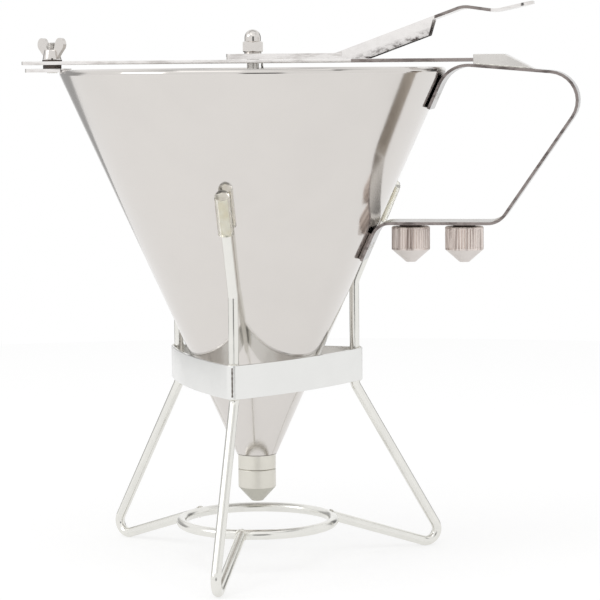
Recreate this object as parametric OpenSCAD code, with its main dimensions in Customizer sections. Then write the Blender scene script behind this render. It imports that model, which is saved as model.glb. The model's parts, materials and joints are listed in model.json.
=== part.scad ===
// Pancake batter dispenser: a piston funnel with a thumb lever, standing in its wire stand.
// Millimetres, +Z up. The origin is on the floor under the funnel's axis.
// The handle points along +X and the stand's front foot along -Y.

/* [Funnel] */
// Outside diameter over the rolled rim
rim_d = 192; // [160:1:230]
// Height from the outlet collar's shoulder to the top of the rim
cone_h = 193.4; // [160:0.2:230]
// Outside diameter of the cone's small end
cone_small_d = 20.4; // [18:0.2:26]
// Thickness of the cone's sheet
sheet_t = 0.8; // [0.6:0.1:1.2]
// Diameter of the rolled rim
bead_d = 4; // [3.2:0.2:6]
// Height of the fitted nozzle's tip above the floor
tip_h = 30; // [28:1:50]

/* [Outlet and nozzles] */
// Outside diameter of the outlet collar and of the nozzles
nozzle_d = 19; // [17:0.2:22]
// Height of the collar's visible part
collar_h = 7.5; // [6:0.5:12]
// Diameter of the threaded spigots that nozzles screw on
spigot_d = 12; // [11:0.2:13]
// Length of the threaded spigots
spigot_l = 7; // [5:0.5:8]
// Height of the fitted nozzle's straight part
body_h = 9.5; // [9:0.5:14]
// Height of the fitted nozzle's tapered part
nose_h = 7.2; // [5:0.2:10]
// Outside diameter at the fitted nozzle's tip
tip_d = 5.8; // [5.4:0.2:8]
// Bore of the fitted nozzle
bore_d = 4.2; // [2:0.2:4.4]
// Height of a spare nozzle's knurled part
spare_body_h = 11.4; // [9:0.2:14]
// Height of a spare nozzle's tapered part
spare_nose_h = 6.2; // [5:0.2:10]
// Outside diameter at a spare nozzle's tip
spare_tip_d = 4.8; // [4.6:0.2:7]
// Bore of the first spare nozzle
spare_a_bore_d = 2.4; // [1.6:0.2:3.4]
// Bore of the second spare nozzle
spare_b_bore_d = 3.4; // [1.6:0.2:3.4]
// Knurl teeth round a spare nozzle
knurl_count = 40; // [24:1:60]
// Distance between the two spare nozzles
spare_pitch = 26.6; // [24:0.2:28]
// Distance of the second spare nozzle from the handle's lower outer corner
spare_inset = 17.8; // [14:0.2:20]

/* [Valve] */
// Diameter of the valve rod
rod_d = 6; // [5:0.5:7]
// Diameter of the outlet's passage under the seat
passage_d = 8; // [7:0.2:9]
// Diameter of the valve plug
plug_d = 12.8; // [11.5:0.1:14]
// Length of the plug's straight part
plug_h = 5; // [3:0.5:10]
// Diameter of the collar that the spring pushes on
rod_collar_d = 13; // [12:0.5:16]
// Thickness of that collar
rod_collar_t = 3; // [2:0.5:5]
// Length of the closing spring with the valve shut
spring_l = 44; // [36:1:60]
// Diameter of the spring's wire
spring_wire_d = 1.2; // [0.8:0.1:1.4]
// Mean diameter of the spring's coils
spring_d = 10; // [9.6:0.1:11]
// Curls in the spring
spring_curls = 10; // [6:1:12]
// Width of the cap nut across its flats
cap_nut_af = 10; // [9:0.5:12]
// Height of the whole cap nut
cap_nut_h = 12; // [10:0.5:15]

/* [Bridge bar] */
// Width of the bar
bar_w = 20; // [18:0.5:24]
// Thickness of the bar
bar_t = 1.8; // [1.5:0.1:3]
// Gap between the rim's top and the bar's underside
bar_gap = 2.4; // [2:0.1:4]
// How far the bar reaches past the rim at the clamp end
bar_reach = 20.5; // [18:0.5:26]
// Thickness of the rim's tab
tab_t = 1.8; // [1.5:0.1:2.4]
// Width of the rim's tab
tab_w = 16; // [12:0.5:18]
// Thickness of the spacer nut between tab and bar
spacer_t = 1.9; // [1.5:0.1:2.5]
// Distance of the clamp stud's axis outside the rim
stud_out = 6.6; // [6:0.2:9]
// Diameter of the clamp stud
stud_d = 5; // [4:0.5:6]
// Height of the wing nut over its wings
wing_nut_h = 10.8; // [9:0.2:14]
// Width of the wing nut over its wings
wing_span = 21; // [18:0.5:26]
// Angle at which the wings stand
wing_turn = -38; // [-90:1:90]

/* [Thumb lever] */
// Width of the lever
lever_w = 18; // [16:0.5:20]
// Thickness of the lever's sheet
lever_t = 1.5; // [1.2:0.1:2]
// Height of the lever's flat part above the bar
lever_flat_h = 2.8; // [2.4:0.1:4]
// How far the flat part reaches past the rod
lever_tail = 12.4; // [11:0.2:18]
// Distance from the rod to the lever's upward bend
lever_bend = 42.5; // [38:0.5:60]
// Angle at which the lever rises from the bar
lever_rise = 20; // [16:0.5:26]
// Depth of the lever's folded sides past the bend
lever_side = 8; // [6:0.5:10]
// Distance from the rod to the end of the folded sides
lever_sides_end = 91; // [80:1:96]
// Distance from the rod to the thumb plate's crest
crest_x = 105.5; // [100:0.5:112]
// Distance from the rod to the thumb plate's hollow
hollow_x = 121; // [116:0.5:126]
// Drop from the crest to the hollow
hollow_drop = 2.3; // [1:0.1:5]
// Distance from the rod to the lever's tip
lever_reach = 139.5; // [132:0.5:150]
// Rise from the hollow to the tip
tip_rise = 4; // [2:0.1:8]
// Angle that the lever turns through when the thumb presses it fully
lever_stroke = 12; // [8:0.5:12]

/* [Handle] */
// Width of the handle's strip
handle_w = 25; // [24:0.5:30]
// Thickness of the handle's strip
handle_t = 1.5; // [1.2:0.1:2.5]
// Height of the top run's middle above the rim's top, over the rim
handle_up = 1.7; // [1.2:0.1:2]
// Slope of the top run, downwards
handle_slope = 5; // [0:0.5:8]
// Distance from the rim to the handle's upper outer corner, before it is rounded
grip_out = 76.2; // [66:0.2:88]
// Lean of the grip from upright
grip_lean = 34.5; // [26:0.5:40]
// Depth of the handle's lower run below the rim's top
lower_run_drop = 76.6; // [68:0.2:86]
// Length of the handle's upper tab on the cone
upper_tab_l = 13.5; // [10:0.5:18]
// Length of the handle's lower tab on the cone
lower_tab_l = 14.5; // [10:0.5:18]
// Bend radius of the grip's upper corner
grip_bend_r = 14; // [10:0.5:20]
// Bend radius of the grip's lower corner
heel_bend_r = 10; // [4:0.5:14]
// Bend radius where the top run meets the cone
rim_bend_r = 15; // [10:0.5:18]
// Bend radius where the lower run meets the cone
tab_bend_r = 9; // [2:0.5:11]
// Width of the keeper hood
hood_w = 23; // [22.6:0.2:24]
// Length of the keeper hood
hood_l = 29.5; // [26:0.5:34]
// Distance from the rim to the hood's mouth
hood_out = 14.6; // [13:0.2:18]
// Thickness of the hood's sheet
hood_t = 1.2; // [0.8:0.1:1.3]

/* [Stand] */
// How far the stand is turned from its place with one foot straight across from the handle
stand_turn = -2; // [-10:0.5:10]
// Diameter of the stand's wire
wire_d = 5; // [4:0.2:6]
// Radius of the circle that the posts stand on
post_r = 53; // [50:0.5:60]
// Height of the posts' tips above the floor
post_h = 187; // [170:1:200]
// Radius from the axis to the outermost point of the feet's centre line
foot_r = 98; // [85:1:115]
// Bend radius of the feet
foot_bend_r = 6; // [4:0.5:9]
// Radius of the base ring's centre line
ring_r = 38.5; // [30:0.5:48]
// Height of the base ring's centre line
ring_z = 19.5; // [12:0.5:24]
// Height of the band's lower edge
band_z = 88.8; // [80:0.4:96]
// Width of the band's strip
band_h = 16.5; // [12:0.5:20]
// Thickness of the band's strip
band_t = 1.5; // [1:0.1:2]
// Length of the vinyl sleeves
sleeve_l = 19; // [12:1:26]
// Wall of the vinyl sleeves
sleeve_t = 1.3; // [0.8:0.1:1.6]

/* [Fits] */
// Radial clearance of turning and sliding fits
running_fit = 0.05; // [0.03:0.01:0.1]
// Clearance between pieces that only rest or pass by
rest_gap = 0.3; // [0.2:0.05:0.4]
// Clearance between pieces that touch in use, such as plug and seat
touch_gap = 0.1; // [0.05:0.01:0.15]

/* [Hidden] */
$fn = 96;
// Roundness of the bars that make up a spring
tube_sides = 6;
// Rings in each curl of the spring
rings_per_curl = 8;
// Steps of a bend in folded sheet
bend_steps = 10;
// A cut that passes right through reaches this far beyond
over = 1;
// A wire's bends are this much thicker, and its straights run this far into them
bend_swell = 0.02;
bend_overlap = 0.3;
// The hexagon's corners stand this much further out than its flats
hex_corner = 1 / cos(30);

// Funnel
bead_r = bead_d / 2;
cone_small_r = cone_small_d / 2;
cone_z = tip_h + nose_h + body_h + collar_h;
rim_z = cone_z + cone_h;
bead_c = [rim_d / 2 - bead_r, rim_z - bead_r];
bead_from_foot = bead_c - [cone_small_r, cone_z];
cone_angle = atan2(bead_from_foot[0], bead_from_foot[1]) + asin(bead_r / norm(bead_from_foot));
sheet_across = sheet_t / cos(cone_angle);
bead_curl = 300;
bead_steps = 20;
bead_mid_r = bead_r - sheet_t / 2;
rim_wire_r = bead_r - sheet_t - running_fit;

// Outlet and nozzles
shoulder_z = cone_z - collar_h;
lip_h = 3;
lip_edge = 0.3;
seat_slope = 45;
seat_land = 0.6;
seat_drop = 1.2;
seat_top_r = plug_d / 2 + seat_land;
seat_top_z = cone_z - seat_drop;
seat_foot_z = seat_top_z - (seat_top_r - passage_d / 2) / tan(seat_slope);
nozzle_edge = 0.5;
// The socket is this much deeper than the spigot, and its floor this much narrower
socket_extra = 0.8;
socket_step = 1;
// Share of a nozzle's taper that narrows inside too, before its bore begins
inner_taper = 0.6;
thread_groove = 0.35;
thread_pitch = 1.4;
knurl_depth = 0.45;
// Share of each tooth that stays round, and how far the knurl keeps from the straight part's ends
knurl_land = 0.25;
knurl_margin = 0.9;
knurl_clear = 0.1;
// A spare's mouth hangs this far under the handle, round a neck that is this much slimmer
spare_gap = 1.3;
neck_in = 1;

// Bar, tab, stud and clamp
bar_z = rim_z + bar_gap;
bar_top = bar_z + bar_t;
bar_corner_r = 3;
bar_in_hood = 9.5;
hood_x = rim_d / 2 + hood_out;
bar_end_x = hood_x + bar_in_hood;
bar_far_x = -(rim_d / 2 + bar_reach);
stud_x = -(rim_d / 2 + stud_out);
tab_top = bar_z - spacer_t;
tab_short = 1.2;
tab_end_x = bar_far_x + tab_short;
tab_in_x = -(rim_d / 2 - bead_r);
spacer_af = 8.4;
stud_hole_fit = 0.2;
washer_t = 0.8;
washer_d = 10;
wing_nut_z = bar_top + washer_t + touch_gap;
wing_hub_d = 9.6;
wing_hub_top_d = 7.6;
wing_hub_h = 4.9;
wing_t = 2;
wing_ear_r = 3.3;
wing_foot_h = 0.4;
wing_root = 0.2;
wing_lean = -30;
stud_show = 3.6;
stud_top = wing_nut_z + wing_hub_h + stud_show;

// Lever, from its pivot line on the bar
pivot_z = bar_top + touch_gap;
lever_mid_h = lever_flat_h - lever_t / 2;
pivot_x = lever_bend + (lever_side / cos(lever_rise) - lever_flat_h) / tan(lever_rise);
crest_h = lever_mid_h + (crest_x - lever_bend) * tan(lever_rise);
lever_bend_r = 8;
crest_bend_r = 12;
hollow_bend_r = 18;
lever_corner_r = 3;
lever_tip_r = 7;
lever_hole_w = rod_d + 2 * rest_gap;
sides_end_slant = 2.5;
lever_flat = [-lever_tail, lever_mid_h];
lever_knee = [lever_bend, lever_mid_h];
lever_crest = [crest_x, crest_h];
lever_hollow = [hollow_x, crest_h - hollow_drop];
lever_tip = [lever_reach, crest_h - hollow_drop + tip_rise];
lever_line = round_path([lever_flat, lever_knee, lever_crest, lever_hollow, lever_tip],
                        [lever_bend_r, crest_bend_r, hollow_bend_r]);

// Cap nut and lift of the rod
nut_face_h = 0.6;
nut_face_in = 0.7;
nut_face_d = cap_nut_af - 2 * nut_face_in;
nut_hex_h = 5.6;
nut_chamfer = 0.8;
nut_dome_in = 0.9;
nut_dome_d = cap_nut_af - 2 * nut_dome_in;
nut_turn = 40;
nut_z = pivot_z + lever_flat_h + touch_gap;
nut_roof = 4.5;
rod_top = nut_z + cap_nut_h - nut_roof;
nut_face_from_pivot = pivot_x + nut_face_d / 2;
rod_lift = nut_face_from_pivot * tan(lever_stroke) + lever_flat_h * (1 / cos(lever_stroke) - 1);
slot_out = pivot_x * (1 / cos(lever_stroke) - 1) + lever_flat_h * tan(lever_stroke) + rest_gap;
echo(rod_lift_mm = rod_lift, lift_per_radian_mm = rod_lift / (lever_stroke * PI / 180));
echo(pivot_x_mm = pivot_x, pivot_z_mm = pivot_z, rim_z_mm = rim_z, bar_z_mm = bar_z);

// Rod, plug and spring
plug_into = 0.6;
plug_foot_z = seat_foot_z - plug_into + touch_gap / sin(seat_slope);
plug_foot_r = passage_d / 2 - plug_into;
plug_edge_z = plug_foot_z + (plug_d / 2 - plug_foot_r) / tan(seat_slope);
plug_top_z = plug_edge_z + plug_h;
plug_shoulder = 2;
plug_floor = 1.2;
rod_foot_z = plug_foot_z + plug_floor;
spring_top_z = bar_z;
rod_collar_z = bar_z - spring_l - rod_collar_t;
spring_r = spring_d / 2;
spring_seat_gap = 0.05;
spring_end_bend_r = 1.5;
spring_end_turns = [0, 30, 60];

// Handle, in the plane through the funnel's axis
tab_off = handle_t / 2 / cos(cone_angle);
top_run_mid = [rim_d / 2, rim_z + handle_up];
grip_reach = rim_d / 2 + grip_out;
lower_run_h = rim_z - lower_run_drop;
grip_top = [grip_reach, line_z(top_run_mid, -handle_slope, grip_reach)];
heel = [grip_reach - (grip_top[1] - lower_run_h) * tan(grip_lean), lower_run_h];
upper_tab_bend = cross_lines(top_run_mid, -handle_slope, tab_line_point(cone_z), 90 - cone_angle);
lower_tab_bend = [cone_r(lower_run_h) + tab_off, lower_run_h];
up_cone = [sin(cone_angle), cos(cone_angle)];
upper_bend_back = rim_bend_r * tan((90 - cone_angle + handle_slope) / 2);
lower_bend_back = tab_bend_r * tan((90 - cone_angle) / 2);
upper_tab_end = upper_tab_bend - up_cone * (upper_bend_back + upper_tab_l);
lower_tab_end = lower_tab_bend - up_cone * (lower_bend_back + lower_tab_l);
handle_line = round_path([upper_tab_end, upper_tab_bend, grip_top, heel, lower_tab_bend, lower_tab_end],
                         [rim_bend_r, grip_bend_r, heel_bend_r, tab_bend_r]);
spare_b_x = heel[0] - spare_inset;
spare_a_x = spare_b_x - spare_pitch;
stub_z = lower_run_h - handle_t / 2;
hood_flat_l = 15;
hood_room = 0.6;
hood_top = bar_top + hood_room + hood_t;

// Stand
wire_r = wire_d / 2;
sleeve_r = wire_r + running_fit + sleeve_t;
flare_off = (sleeve_r + rest_gap) / cos(cone_angle);
flare_bend_z = cone_z + (post_r - flare_off - cone_small_r) / tan(cone_angle);
post_tip = [cone_r(post_h) + flare_off, post_h];
post_bend_r = 8;
knee_bend_r = 7;
knee_drop = 2;
knee = [post_r, band_z - knee_drop];
foot_c = [foot_r - foot_bend_r, wire_r + bend_swell + foot_bend_r];
run_start = 1;
ring_end = [ring_r + run_start, ring_z];
leg_slope = tangent_angle(knee, foot_c, foot_bend_r, 1);
run_slope = tangent_angle(ring_end, foot_c, foot_bend_r, -1);
foot_corner = cross_lines(knee, leg_slope, ring_end, run_slope);
leg_path = [ring_end, foot_corner, knee, [post_r, flare_bend_z], post_tip];
leg_bends = [foot_bend_r, knee_bend_r, post_bend_r];
front_leg = stand_turn - 90;
right_leg = stand_turn + 30;
left_leg = stand_turn + 150;

// Band: each side is an arc whose disc's centre lies across the axis
band_hold = wire_r + running_fit;
band_play = 0.5;
band_bow = 0.5;
band_clear_r = cone_r(band_z + band_h) + band_play;
band_mid_r = max(band_clear_r, post_r / 2 + band_hold + band_bow);
band_reach_in = band_mid_r - band_hold;
band_disc_off = (post_r * post_r - band_reach_in * band_reach_in) / (2 * band_reach_in - post_r);
band_disc_r = band_mid_r + band_disc_off;
band_side_dir = [post_r * cos(60) + band_disc_off, post_r * sin(60)];
band_turn = atan2(band_side_dir[1], band_side_dir[0]);
// The sides are long shallow arcs, so their circles are drawn finer
band_fn = 720;

stand_leg_front();
stand_leg_right();
stand_leg_left();
stand_ring();
stand_band();
sleeve_front();
sleeve_right();
sleeve_left();
funnel_cone();
rim_wire();
outlet_collar();
handle();
keeper_hood();
spare_stub_a();
spare_stub_b();
rim_tab();
clamp_stud();
spacer_nut();
bridge_bar();
clamp_washer();
wing_nut();
thumb_lever();
valve_rod();
cap_nut();
rod_collar();
closing_spring();
valve_plug();
fitted_nozzle();
spare_nozzle_a();
spare_nozzle_b();

// ---- Lines and bends in a plane ----

// Unit vector from a to b
function way(a, b) = (b - a) / norm(b - a);

// A vector turned a quarter turn to the left
function left_of(v) = [-v[1], v[0]];

// How far a path turns at its middle point, left positive
function turn_at(a, b, c) =
    let (u = way(a, b), v = way(b, c))
    atan2(u[0] * v[1] - u[1] * v[0], u * v);

// Length that a bend of radius r takes off each side of its corner
function bend_back(a, b, c, r) = r * tan(abs(turn_at(a, b, c)) / 2);

// The points of a rounded corner
function bend_points(a, b, c, r) =
    let (u = way(a, b), turn = turn_at(a, b, c), side = sign(turn),
         start = b - u * bend_back(a, b, c, r), centre = start + left_of(u) * r * side)
    [for (i = [0:bend_steps]) centre + spin(start - centre, turn * i / bend_steps)];

// A vector turned by an angle
function spin(v, angle) =
    [v[0] * cos(angle) - v[1] * sin(angle), v[0] * sin(angle) + v[1] * cos(angle)];

// A path with its inner corners rounded, one radius for each
function round_path(p, r) =
    concat([p[0]],
           [for (i = [1:len(p) - 2]) each bend_points(p[i - 1], p[i], p[i + 1], r[i - 1])],
           [p[len(p) - 1]]);

// The point beside point i of a path, off to its left, mitred
function beside(p, i, off) =
    let (u = i > 0 ? way(p[i - 1], p[i]) : way(p[0], p[1]),
         v = i < len(p) - 1 ? way(p[i], p[i + 1]) : u)
    p[i] + (left_of(u) + left_of(v)) * off / (1 + u * v);

// The outline of a sheet of thickness t along a path
function sheet_outline(p, t) =
    concat([for (i = [0:len(p) - 1]) beside(p, i, t / 2)],
           [for (i = [len(p) - 1:-1:0]) beside(p, i, -t / 2)]);

// Height at x of the line through p at an angle
function line_z(p, angle, x) = p[1] + (x - p[0]) * tan(angle);

// Where the lines through p and q at two angles cross
function cross_lines(p, angle_p, q, angle_q) =
    let (u = [cos(angle_p), sin(angle_p)], v = [cos(angle_q), sin(angle_q)], w = q - p,
         s = (w[0] * v[1] - w[1] * v[0]) / (u[0] * v[1] - u[1] * v[0]))
    p + u * s;

// Direction from p of the line that touches the circle at c, on one side of it
function tangent_angle(p, c, r, side) =
    let (w = c - p)
    atan2(w[1], w[0]) + side * asin(r / norm(w));

// Outside radius of the cone at a height
function cone_r(z) = cone_small_r + (z - cone_z) * tan(cone_angle);

// A point of the line that the handle's tabs lie on
function tab_line_point(z) = [cone_r(z) + tab_off, z];

// ---- Shapes used more than once ----

// Stands a drawing in X and Y upright in X and Z, centred across Y
module upright(width) {
    translate([0, width / 2, 0])
        rotate([90, 0, 0])
            linear_extrude(width)
                children();
}

// A bent wire along a path in X and Z
module bent_wire(p, r, d) {
    last = len(p) - 2;
    rotate([90, 0, 0]) {
        for (i = [0:last]) {
            u = way(p[i], p[i + 1]);
            back_a = i == 0 ? 0 : bend_back(p[i - 1], p[i], p[i + 1], r[i - 1]);
            back_b = i == last ? 0 : bend_back(p[i], p[i + 1], p[i + 2], r[i]);
            into_a = i == 0 ? 0 : bend_overlap;
            into_b = i == last ? 0 : bend_overlap;
            translate([each (p[i] + u * (back_a - into_a)), 0])
                rotate([0, 0, atan2(u[1], u[0])])
                    rotate([0, 90, 0])
                        cylinder(h = norm(p[i + 1] - p[i]) - back_a - back_b + into_a + into_b, d = d);
        }
        for (i = [1:last]) {
            u = way(p[i - 1], p[i]);
            turn = turn_at(p[i - 1], p[i], p[i + 1]);
            side = sign(turn);
            start = p[i] - u * bend_back(p[i - 1], p[i], p[i + 1], r[i - 1]);
            centre = start + left_of(u) * r[i - 1] * side;
            from = start - centre;
            translate([each centre, 0])
                rotate([0, 0, atan2(from[1], from[0]) + min(turn, 0)])
                    rotate_extrude(angle = abs(turn))
                        translate([r[i - 1], 0])
                            circle(d = d + 2 * bend_swell);
        }
    }
}

// A flat plate in X from x0 to x1 with rounded corners
module plate(x0, x1, width, corner_r) {
    for (x = [x0 + corner_r, x1 - corner_r])
        for (y = [-width / 2 + corner_r, width / 2 - corner_r])
            translate([x, y])
                circle(r = corner_r);
    translate([x0, -width / 2 + corner_r])
        square([x1 - x0, width - 2 * corner_r]);
    translate([x0 + corner_r, -width / 2])
        square([x1 - x0 - 2 * corner_r, width]);
}

// The space that the cone and its rim fill, without the hollow inside
module funnel_space() {
    rotate_extrude()
        polygon(concat([[0, cone_z]], outer_line(), [[0, rim_z]]));
}

// A spigot with its thread shown as grooves, from z = 0 down
module spigot(length) {
    grooves = floor((length - thread_pitch) / thread_pitch);
    difference() {
        translate([0, 0, -length])
            cylinder(h = length, d = spigot_d);
        for (i = [1:grooves])
            translate([0, 0, -length + i * thread_pitch])
                rotate_extrude()
                    polygon([[spigot_d / 2 - thread_groove, 0],
                             [spigot_d / 2 + over, -thread_groove - over],
                             [spigot_d / 2 + over, thread_groove + over]]);
    }
}

// The inside of a nozzle, whose mouth is at z = 0
module nozzle_inside(straight_h, taper_h, bore) {
    socket_h = spigot_l + socket_extra;
    taper_foot = -(straight_h + taper_h * inner_taper);
    rotate_extrude()
        polygon([[0, over],
                 [spigot_d / 2 + running_fit, over],
                 [spigot_d / 2 + running_fit, -socket_h],
                 [spigot_d / 2 - socket_step, -socket_h],
                 [bore / 2, taper_foot],
                 [bore / 2, -(straight_h + taper_h) - over],
                 [0, -(straight_h + taper_h) - over]]);
}

// The outside of a nozzle, whose mouth is at z = 0
module nozzle_outside(straight_h, taper_h, tip) {
    r = nozzle_d / 2;
    rotate_extrude()
        polygon([[0, 0],
                 [r - nozzle_edge, 0],
                 [r, -nozzle_edge],
                 [r, -straight_h],
                 [tip / 2, -(straight_h + taper_h)],
                 [0, -(straight_h + taper_h)]]);
}

// What the knurl's grooves take away from a nozzle's straight part, whose mouth is at z = 0
module knurl_grooves(straight_h) {
    tooth = 360 / knurl_count;
    crest_r = nozzle_d / 2 + knurl_clear;
    root_r = nozzle_d / 2 - knurl_depth;
    translate([0, 0, knurl_margin - straight_h])
        linear_extrude(straight_h - 2 * knurl_margin)
            difference() {
                circle(r = crest_r + over);
                polygon([for (i = [0:knurl_count - 1], share = [0, knurl_land, (1 + knurl_land) / 2])
                    let (a = tooth * (i + share), r = share > knurl_land ? root_r : crest_r)
                    r * [cos(a), sin(a)]]);
            }
}

// A spare nozzle with a knurled grip
module spare_nozzle(x, bore) {
    translate([x, 0, stub_z - spare_gap])
        difference() {
            nozzle_outside(spare_body_h, spare_nose_h, spare_tip_d);
            knurl_grooves(spare_body_h);
            nozzle_inside(spare_body_h, spare_nose_h, bore);
        }
}

// A stub under the handle that a spare nozzle screws on
module spare_stub(x) {
    translate([x, 0, stub_z]) {
        translate([0, 0, -spare_gap])
            cylinder(h = spare_gap, d = spigot_d - neck_in);
        translate([0, 0, -spare_gap])
            spigot(spigot_l - rest_gap);
    }
}

// ---- Stand ----

module stand_leg(angle) {
    color([0.86, 0.86, 0.84])
        rotate([0, 0, angle])
            difference() {
                bent_wire(leg_path, leg_bends, wire_d);
                ring_solid();
            }
}

module ring_solid() {
    translate([0, 0, ring_z])
        rotate_extrude()
            translate([ring_r, 0])
                circle(r = wire_r);
}

module stand_leg_front() {
    stand_leg(front_leg);
}

module stand_leg_right() {
    stand_leg(right_leg);
}

module stand_leg_left() {
    stand_leg(left_leg);
}

module stand_ring() {
    color([0.86, 0.86, 0.84])
        ring_solid();
}

// The band's outline, grown by some thickness over the face that holds the posts.
// A triangle trims the discs' corners where they meet the rounds over the posts.
module band_outline(grow) {
    hold = band_hold + grow;
    tip_cut = post_r + hold * cos(60 - band_turn);
    intersection() {
        inside_three_sides() {
            translate([-band_disc_off, 0])
                circle(r = band_disc_r + grow, $fn = band_fn);
        }
        rotate([0, 0, front_leg + 180])
            circle(r = 2 * tip_cut, $fn = 3);
    }
    for (angle = [front_leg, right_leg, left_leg])
        rotate([0, 0, angle])
            translate([post_r, 0])
                circle(r = hold);
}

// What three discs, one for each side, have in common
module inside_three_sides() {
    intersection() {
        rotate([0, 0, front_leg + 60])
            children();
        rotate([0, 0, right_leg + 60])
            children();
        rotate([0, 0, left_leg + 60])
            children();
    }
}

module stand_band() {
    color([0.88, 0.88, 0.86])
        translate([0, 0, band_z])
            linear_extrude(band_h)
                difference() {
                    band_outline(band_t);
                    band_outline(0);
                }
}

// A sleeve over a post's tip, with a closed round end
module sleeve(angle) {
    color([0.86, 0.74, 0.5])
        rotate([0, 0, angle])
            translate([post_tip[0], 0, post_tip[1]])
                rotate([0, cone_angle, 0])
                    difference() {
                        union() {
                            translate([0, 0, -sleeve_l])
                                cylinder(h = sleeve_l, r = sleeve_r);
                            intersection() {
                                sphere(r = sleeve_r);
                                cylinder(h = sleeve_r, r = sleeve_r + over);
                            }
                        }
                        translate([0, 0, -sleeve_l - over])
                            cylinder(h = sleeve_l + over + running_fit, r = wire_r + running_fit);
                    }
}

module sleeve_front() {
    sleeve(front_leg);
}

module sleeve_right() {
    sleeve(right_leg);
}

module sleeve_left() {
    sleeve(left_leg);
}

// ---- Funnel ----

// The sheet's middle line: up the cone, then round the rim's wire
function cone_line() =
    let (out = [cos(cone_angle), -sin(cone_angle)],
         start = bead_c + out * bead_mid_r)
    concat([[cone_small_r - sheet_across / 2, cone_z]],
           [for (i = [0:bead_steps]) bead_c + spin(start - bead_c, bead_curl * i / bead_steps)]);

// The cone's outer line up to the rim's widest point, then over it
function outer_line() =
    let (out = [cos(cone_angle), -sin(cone_angle)], start = bead_c + out * bead_r)
    concat([[cone_small_r, cone_z]],
           [for (i = [0:bead_steps]) bead_c + spin(start - bead_c, (90 + cone_angle) * i / bead_steps)]);

module funnel_cone() {
    color([0.84, 0.83, 0.81])
        rotate_extrude()
            intersection() {
                polygon(sheet_outline(cone_line(), sheet_t));
                translate([0, cone_z])
                    square([rim_d, cone_h]);
            }
}

module rim_wire() {
    color([0.7, 0.7, 0.68])
        translate([0, 0, bead_c[1]])
            rotate_extrude()
                translate([bead_c[0], 0])
                    circle(r = rim_wire_r);
}

module outlet_collar() {
    lip_r = cone_r(cone_z + lip_h) - sheet_across;
    color([0.8, 0.79, 0.77]) {
        rotate_extrude()
            polygon([[passage_d / 2, shoulder_z],
                     [nozzle_d / 2, shoulder_z],
                     [nozzle_d / 2, cone_z],
                     [cone_small_r - sheet_across, cone_z],
                     [lip_r, cone_z + lip_h],
                     [lip_r - lip_edge, cone_z + lip_h],
                     [seat_top_r, seat_top_z],
                     [passage_d / 2, seat_foot_z]]);
        translate([0, 0, shoulder_z])
            difference() {
                spigot(spigot_l);
                translate([0, 0, -spigot_l - over])
                    cylinder(h = spigot_l + over, d = passage_d);
            }
    }
}

// ---- Handle ----

module handle() {
    color([0.78, 0.77, 0.75])
        difference() {
            upright(handle_w)
                polygon(sheet_outline(handle_line, handle_t));
            funnel_space();
        }
}

// The hood's side view, from its mouth to where it runs out on the handle, drawn in by a wall
function hood_side(wall) =
    let (flat_end = [hood_x + hood_flat_l, hood_top],
         run_out = [hood_x + hood_l, top_run_z(hood_x + hood_l)],
         down = way(flat_end, run_out), slope = atan2(down[1], down[0]),
         on_slope = flat_end - left_of(down) * wall,
         mouth_foot = [hood_x, top_run_z(hood_x)], mouth_top = [hood_x, hood_top - wall])
    [mouth_foot, cross_lines(on_slope, slope, mouth_foot, -handle_slope),
     cross_lines(on_slope, slope, mouth_top, 0), mouth_top];

// Height of the top run's upper face
function top_run_z(x) = line_z(top_run_mid, -handle_slope, x) + handle_t / 2 / cos(handle_slope);

module keeper_hood() {
    room = hood_side(hood_t);
    color([0.8, 0.79, 0.77])
        difference() {
            upright(hood_w)
                polygon(hood_side(0));
            upright(hood_w - 2 * hood_t)
                polygon([room[0] + [-over, -over],
                         room[1] + [0, -over],
                         room[1],
                         room[2],
                         room[3] + [-over, 0]]);
        }
}

module spare_stub_a() {
    color([0.75, 0.74, 0.72])
        spare_stub(spare_a_x);
}

module spare_stub_b() {
    color([0.75, 0.74, 0.72])
        spare_stub(spare_b_x);
}

// ---- Clamp and bridge ----

module rim_tab() {
    color([0.78, 0.77, 0.75])
        difference() {
            translate([0, 0, tab_top - tab_t])
                linear_extrude(tab_t)
                    difference() {
                        plate(tab_end_x, tab_in_x, tab_w, bar_corner_r);
                        translate([stud_x, 0])
                            circle(d = stud_d);
                    }
            funnel_space();
        }
}

module clamp_stud() {
    color([0.72, 0.71, 0.69])
        translate([stud_x, 0, tab_top - tab_t])
            cylinder(h = stud_top - tab_top + tab_t, d = stud_d);
}

module spacer_nut() {
    color([0.3, 0.29, 0.28])
        translate([stud_x, 0, tab_top])
            difference() {
                cylinder(h = spacer_t, d = spacer_af * hex_corner, $fn = 6);
                translate([0, 0, -over])
                    cylinder(h = spacer_t + 2 * over, d = stud_d);
            }
}

module bridge_bar() {
    color([0.8, 0.79, 0.78])
        translate([0, 0, bar_z])
            difference() {
                linear_extrude(bar_t)
                    plate(bar_far_x, bar_end_x, bar_w, bar_corner_r);
                translate([0, 0, -over])
                    cylinder(h = bar_t + 2 * over, d = rod_d + 2 * running_fit);
                translate([stud_x, 0, -over])
                    cylinder(h = bar_t + 2 * over, d = stud_d + 2 * stud_hole_fit);
            }
}

module clamp_washer() {
    color([0.45, 0.44, 0.43])
        translate([stud_x, 0, bar_top])
            difference() {
                cylinder(h = washer_t, d = washer_d);
                translate([0, 0, -over])
                    cylinder(h = washer_t + 2 * over, d = stud_d + 2 * stud_hole_fit);
            }
}

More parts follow.
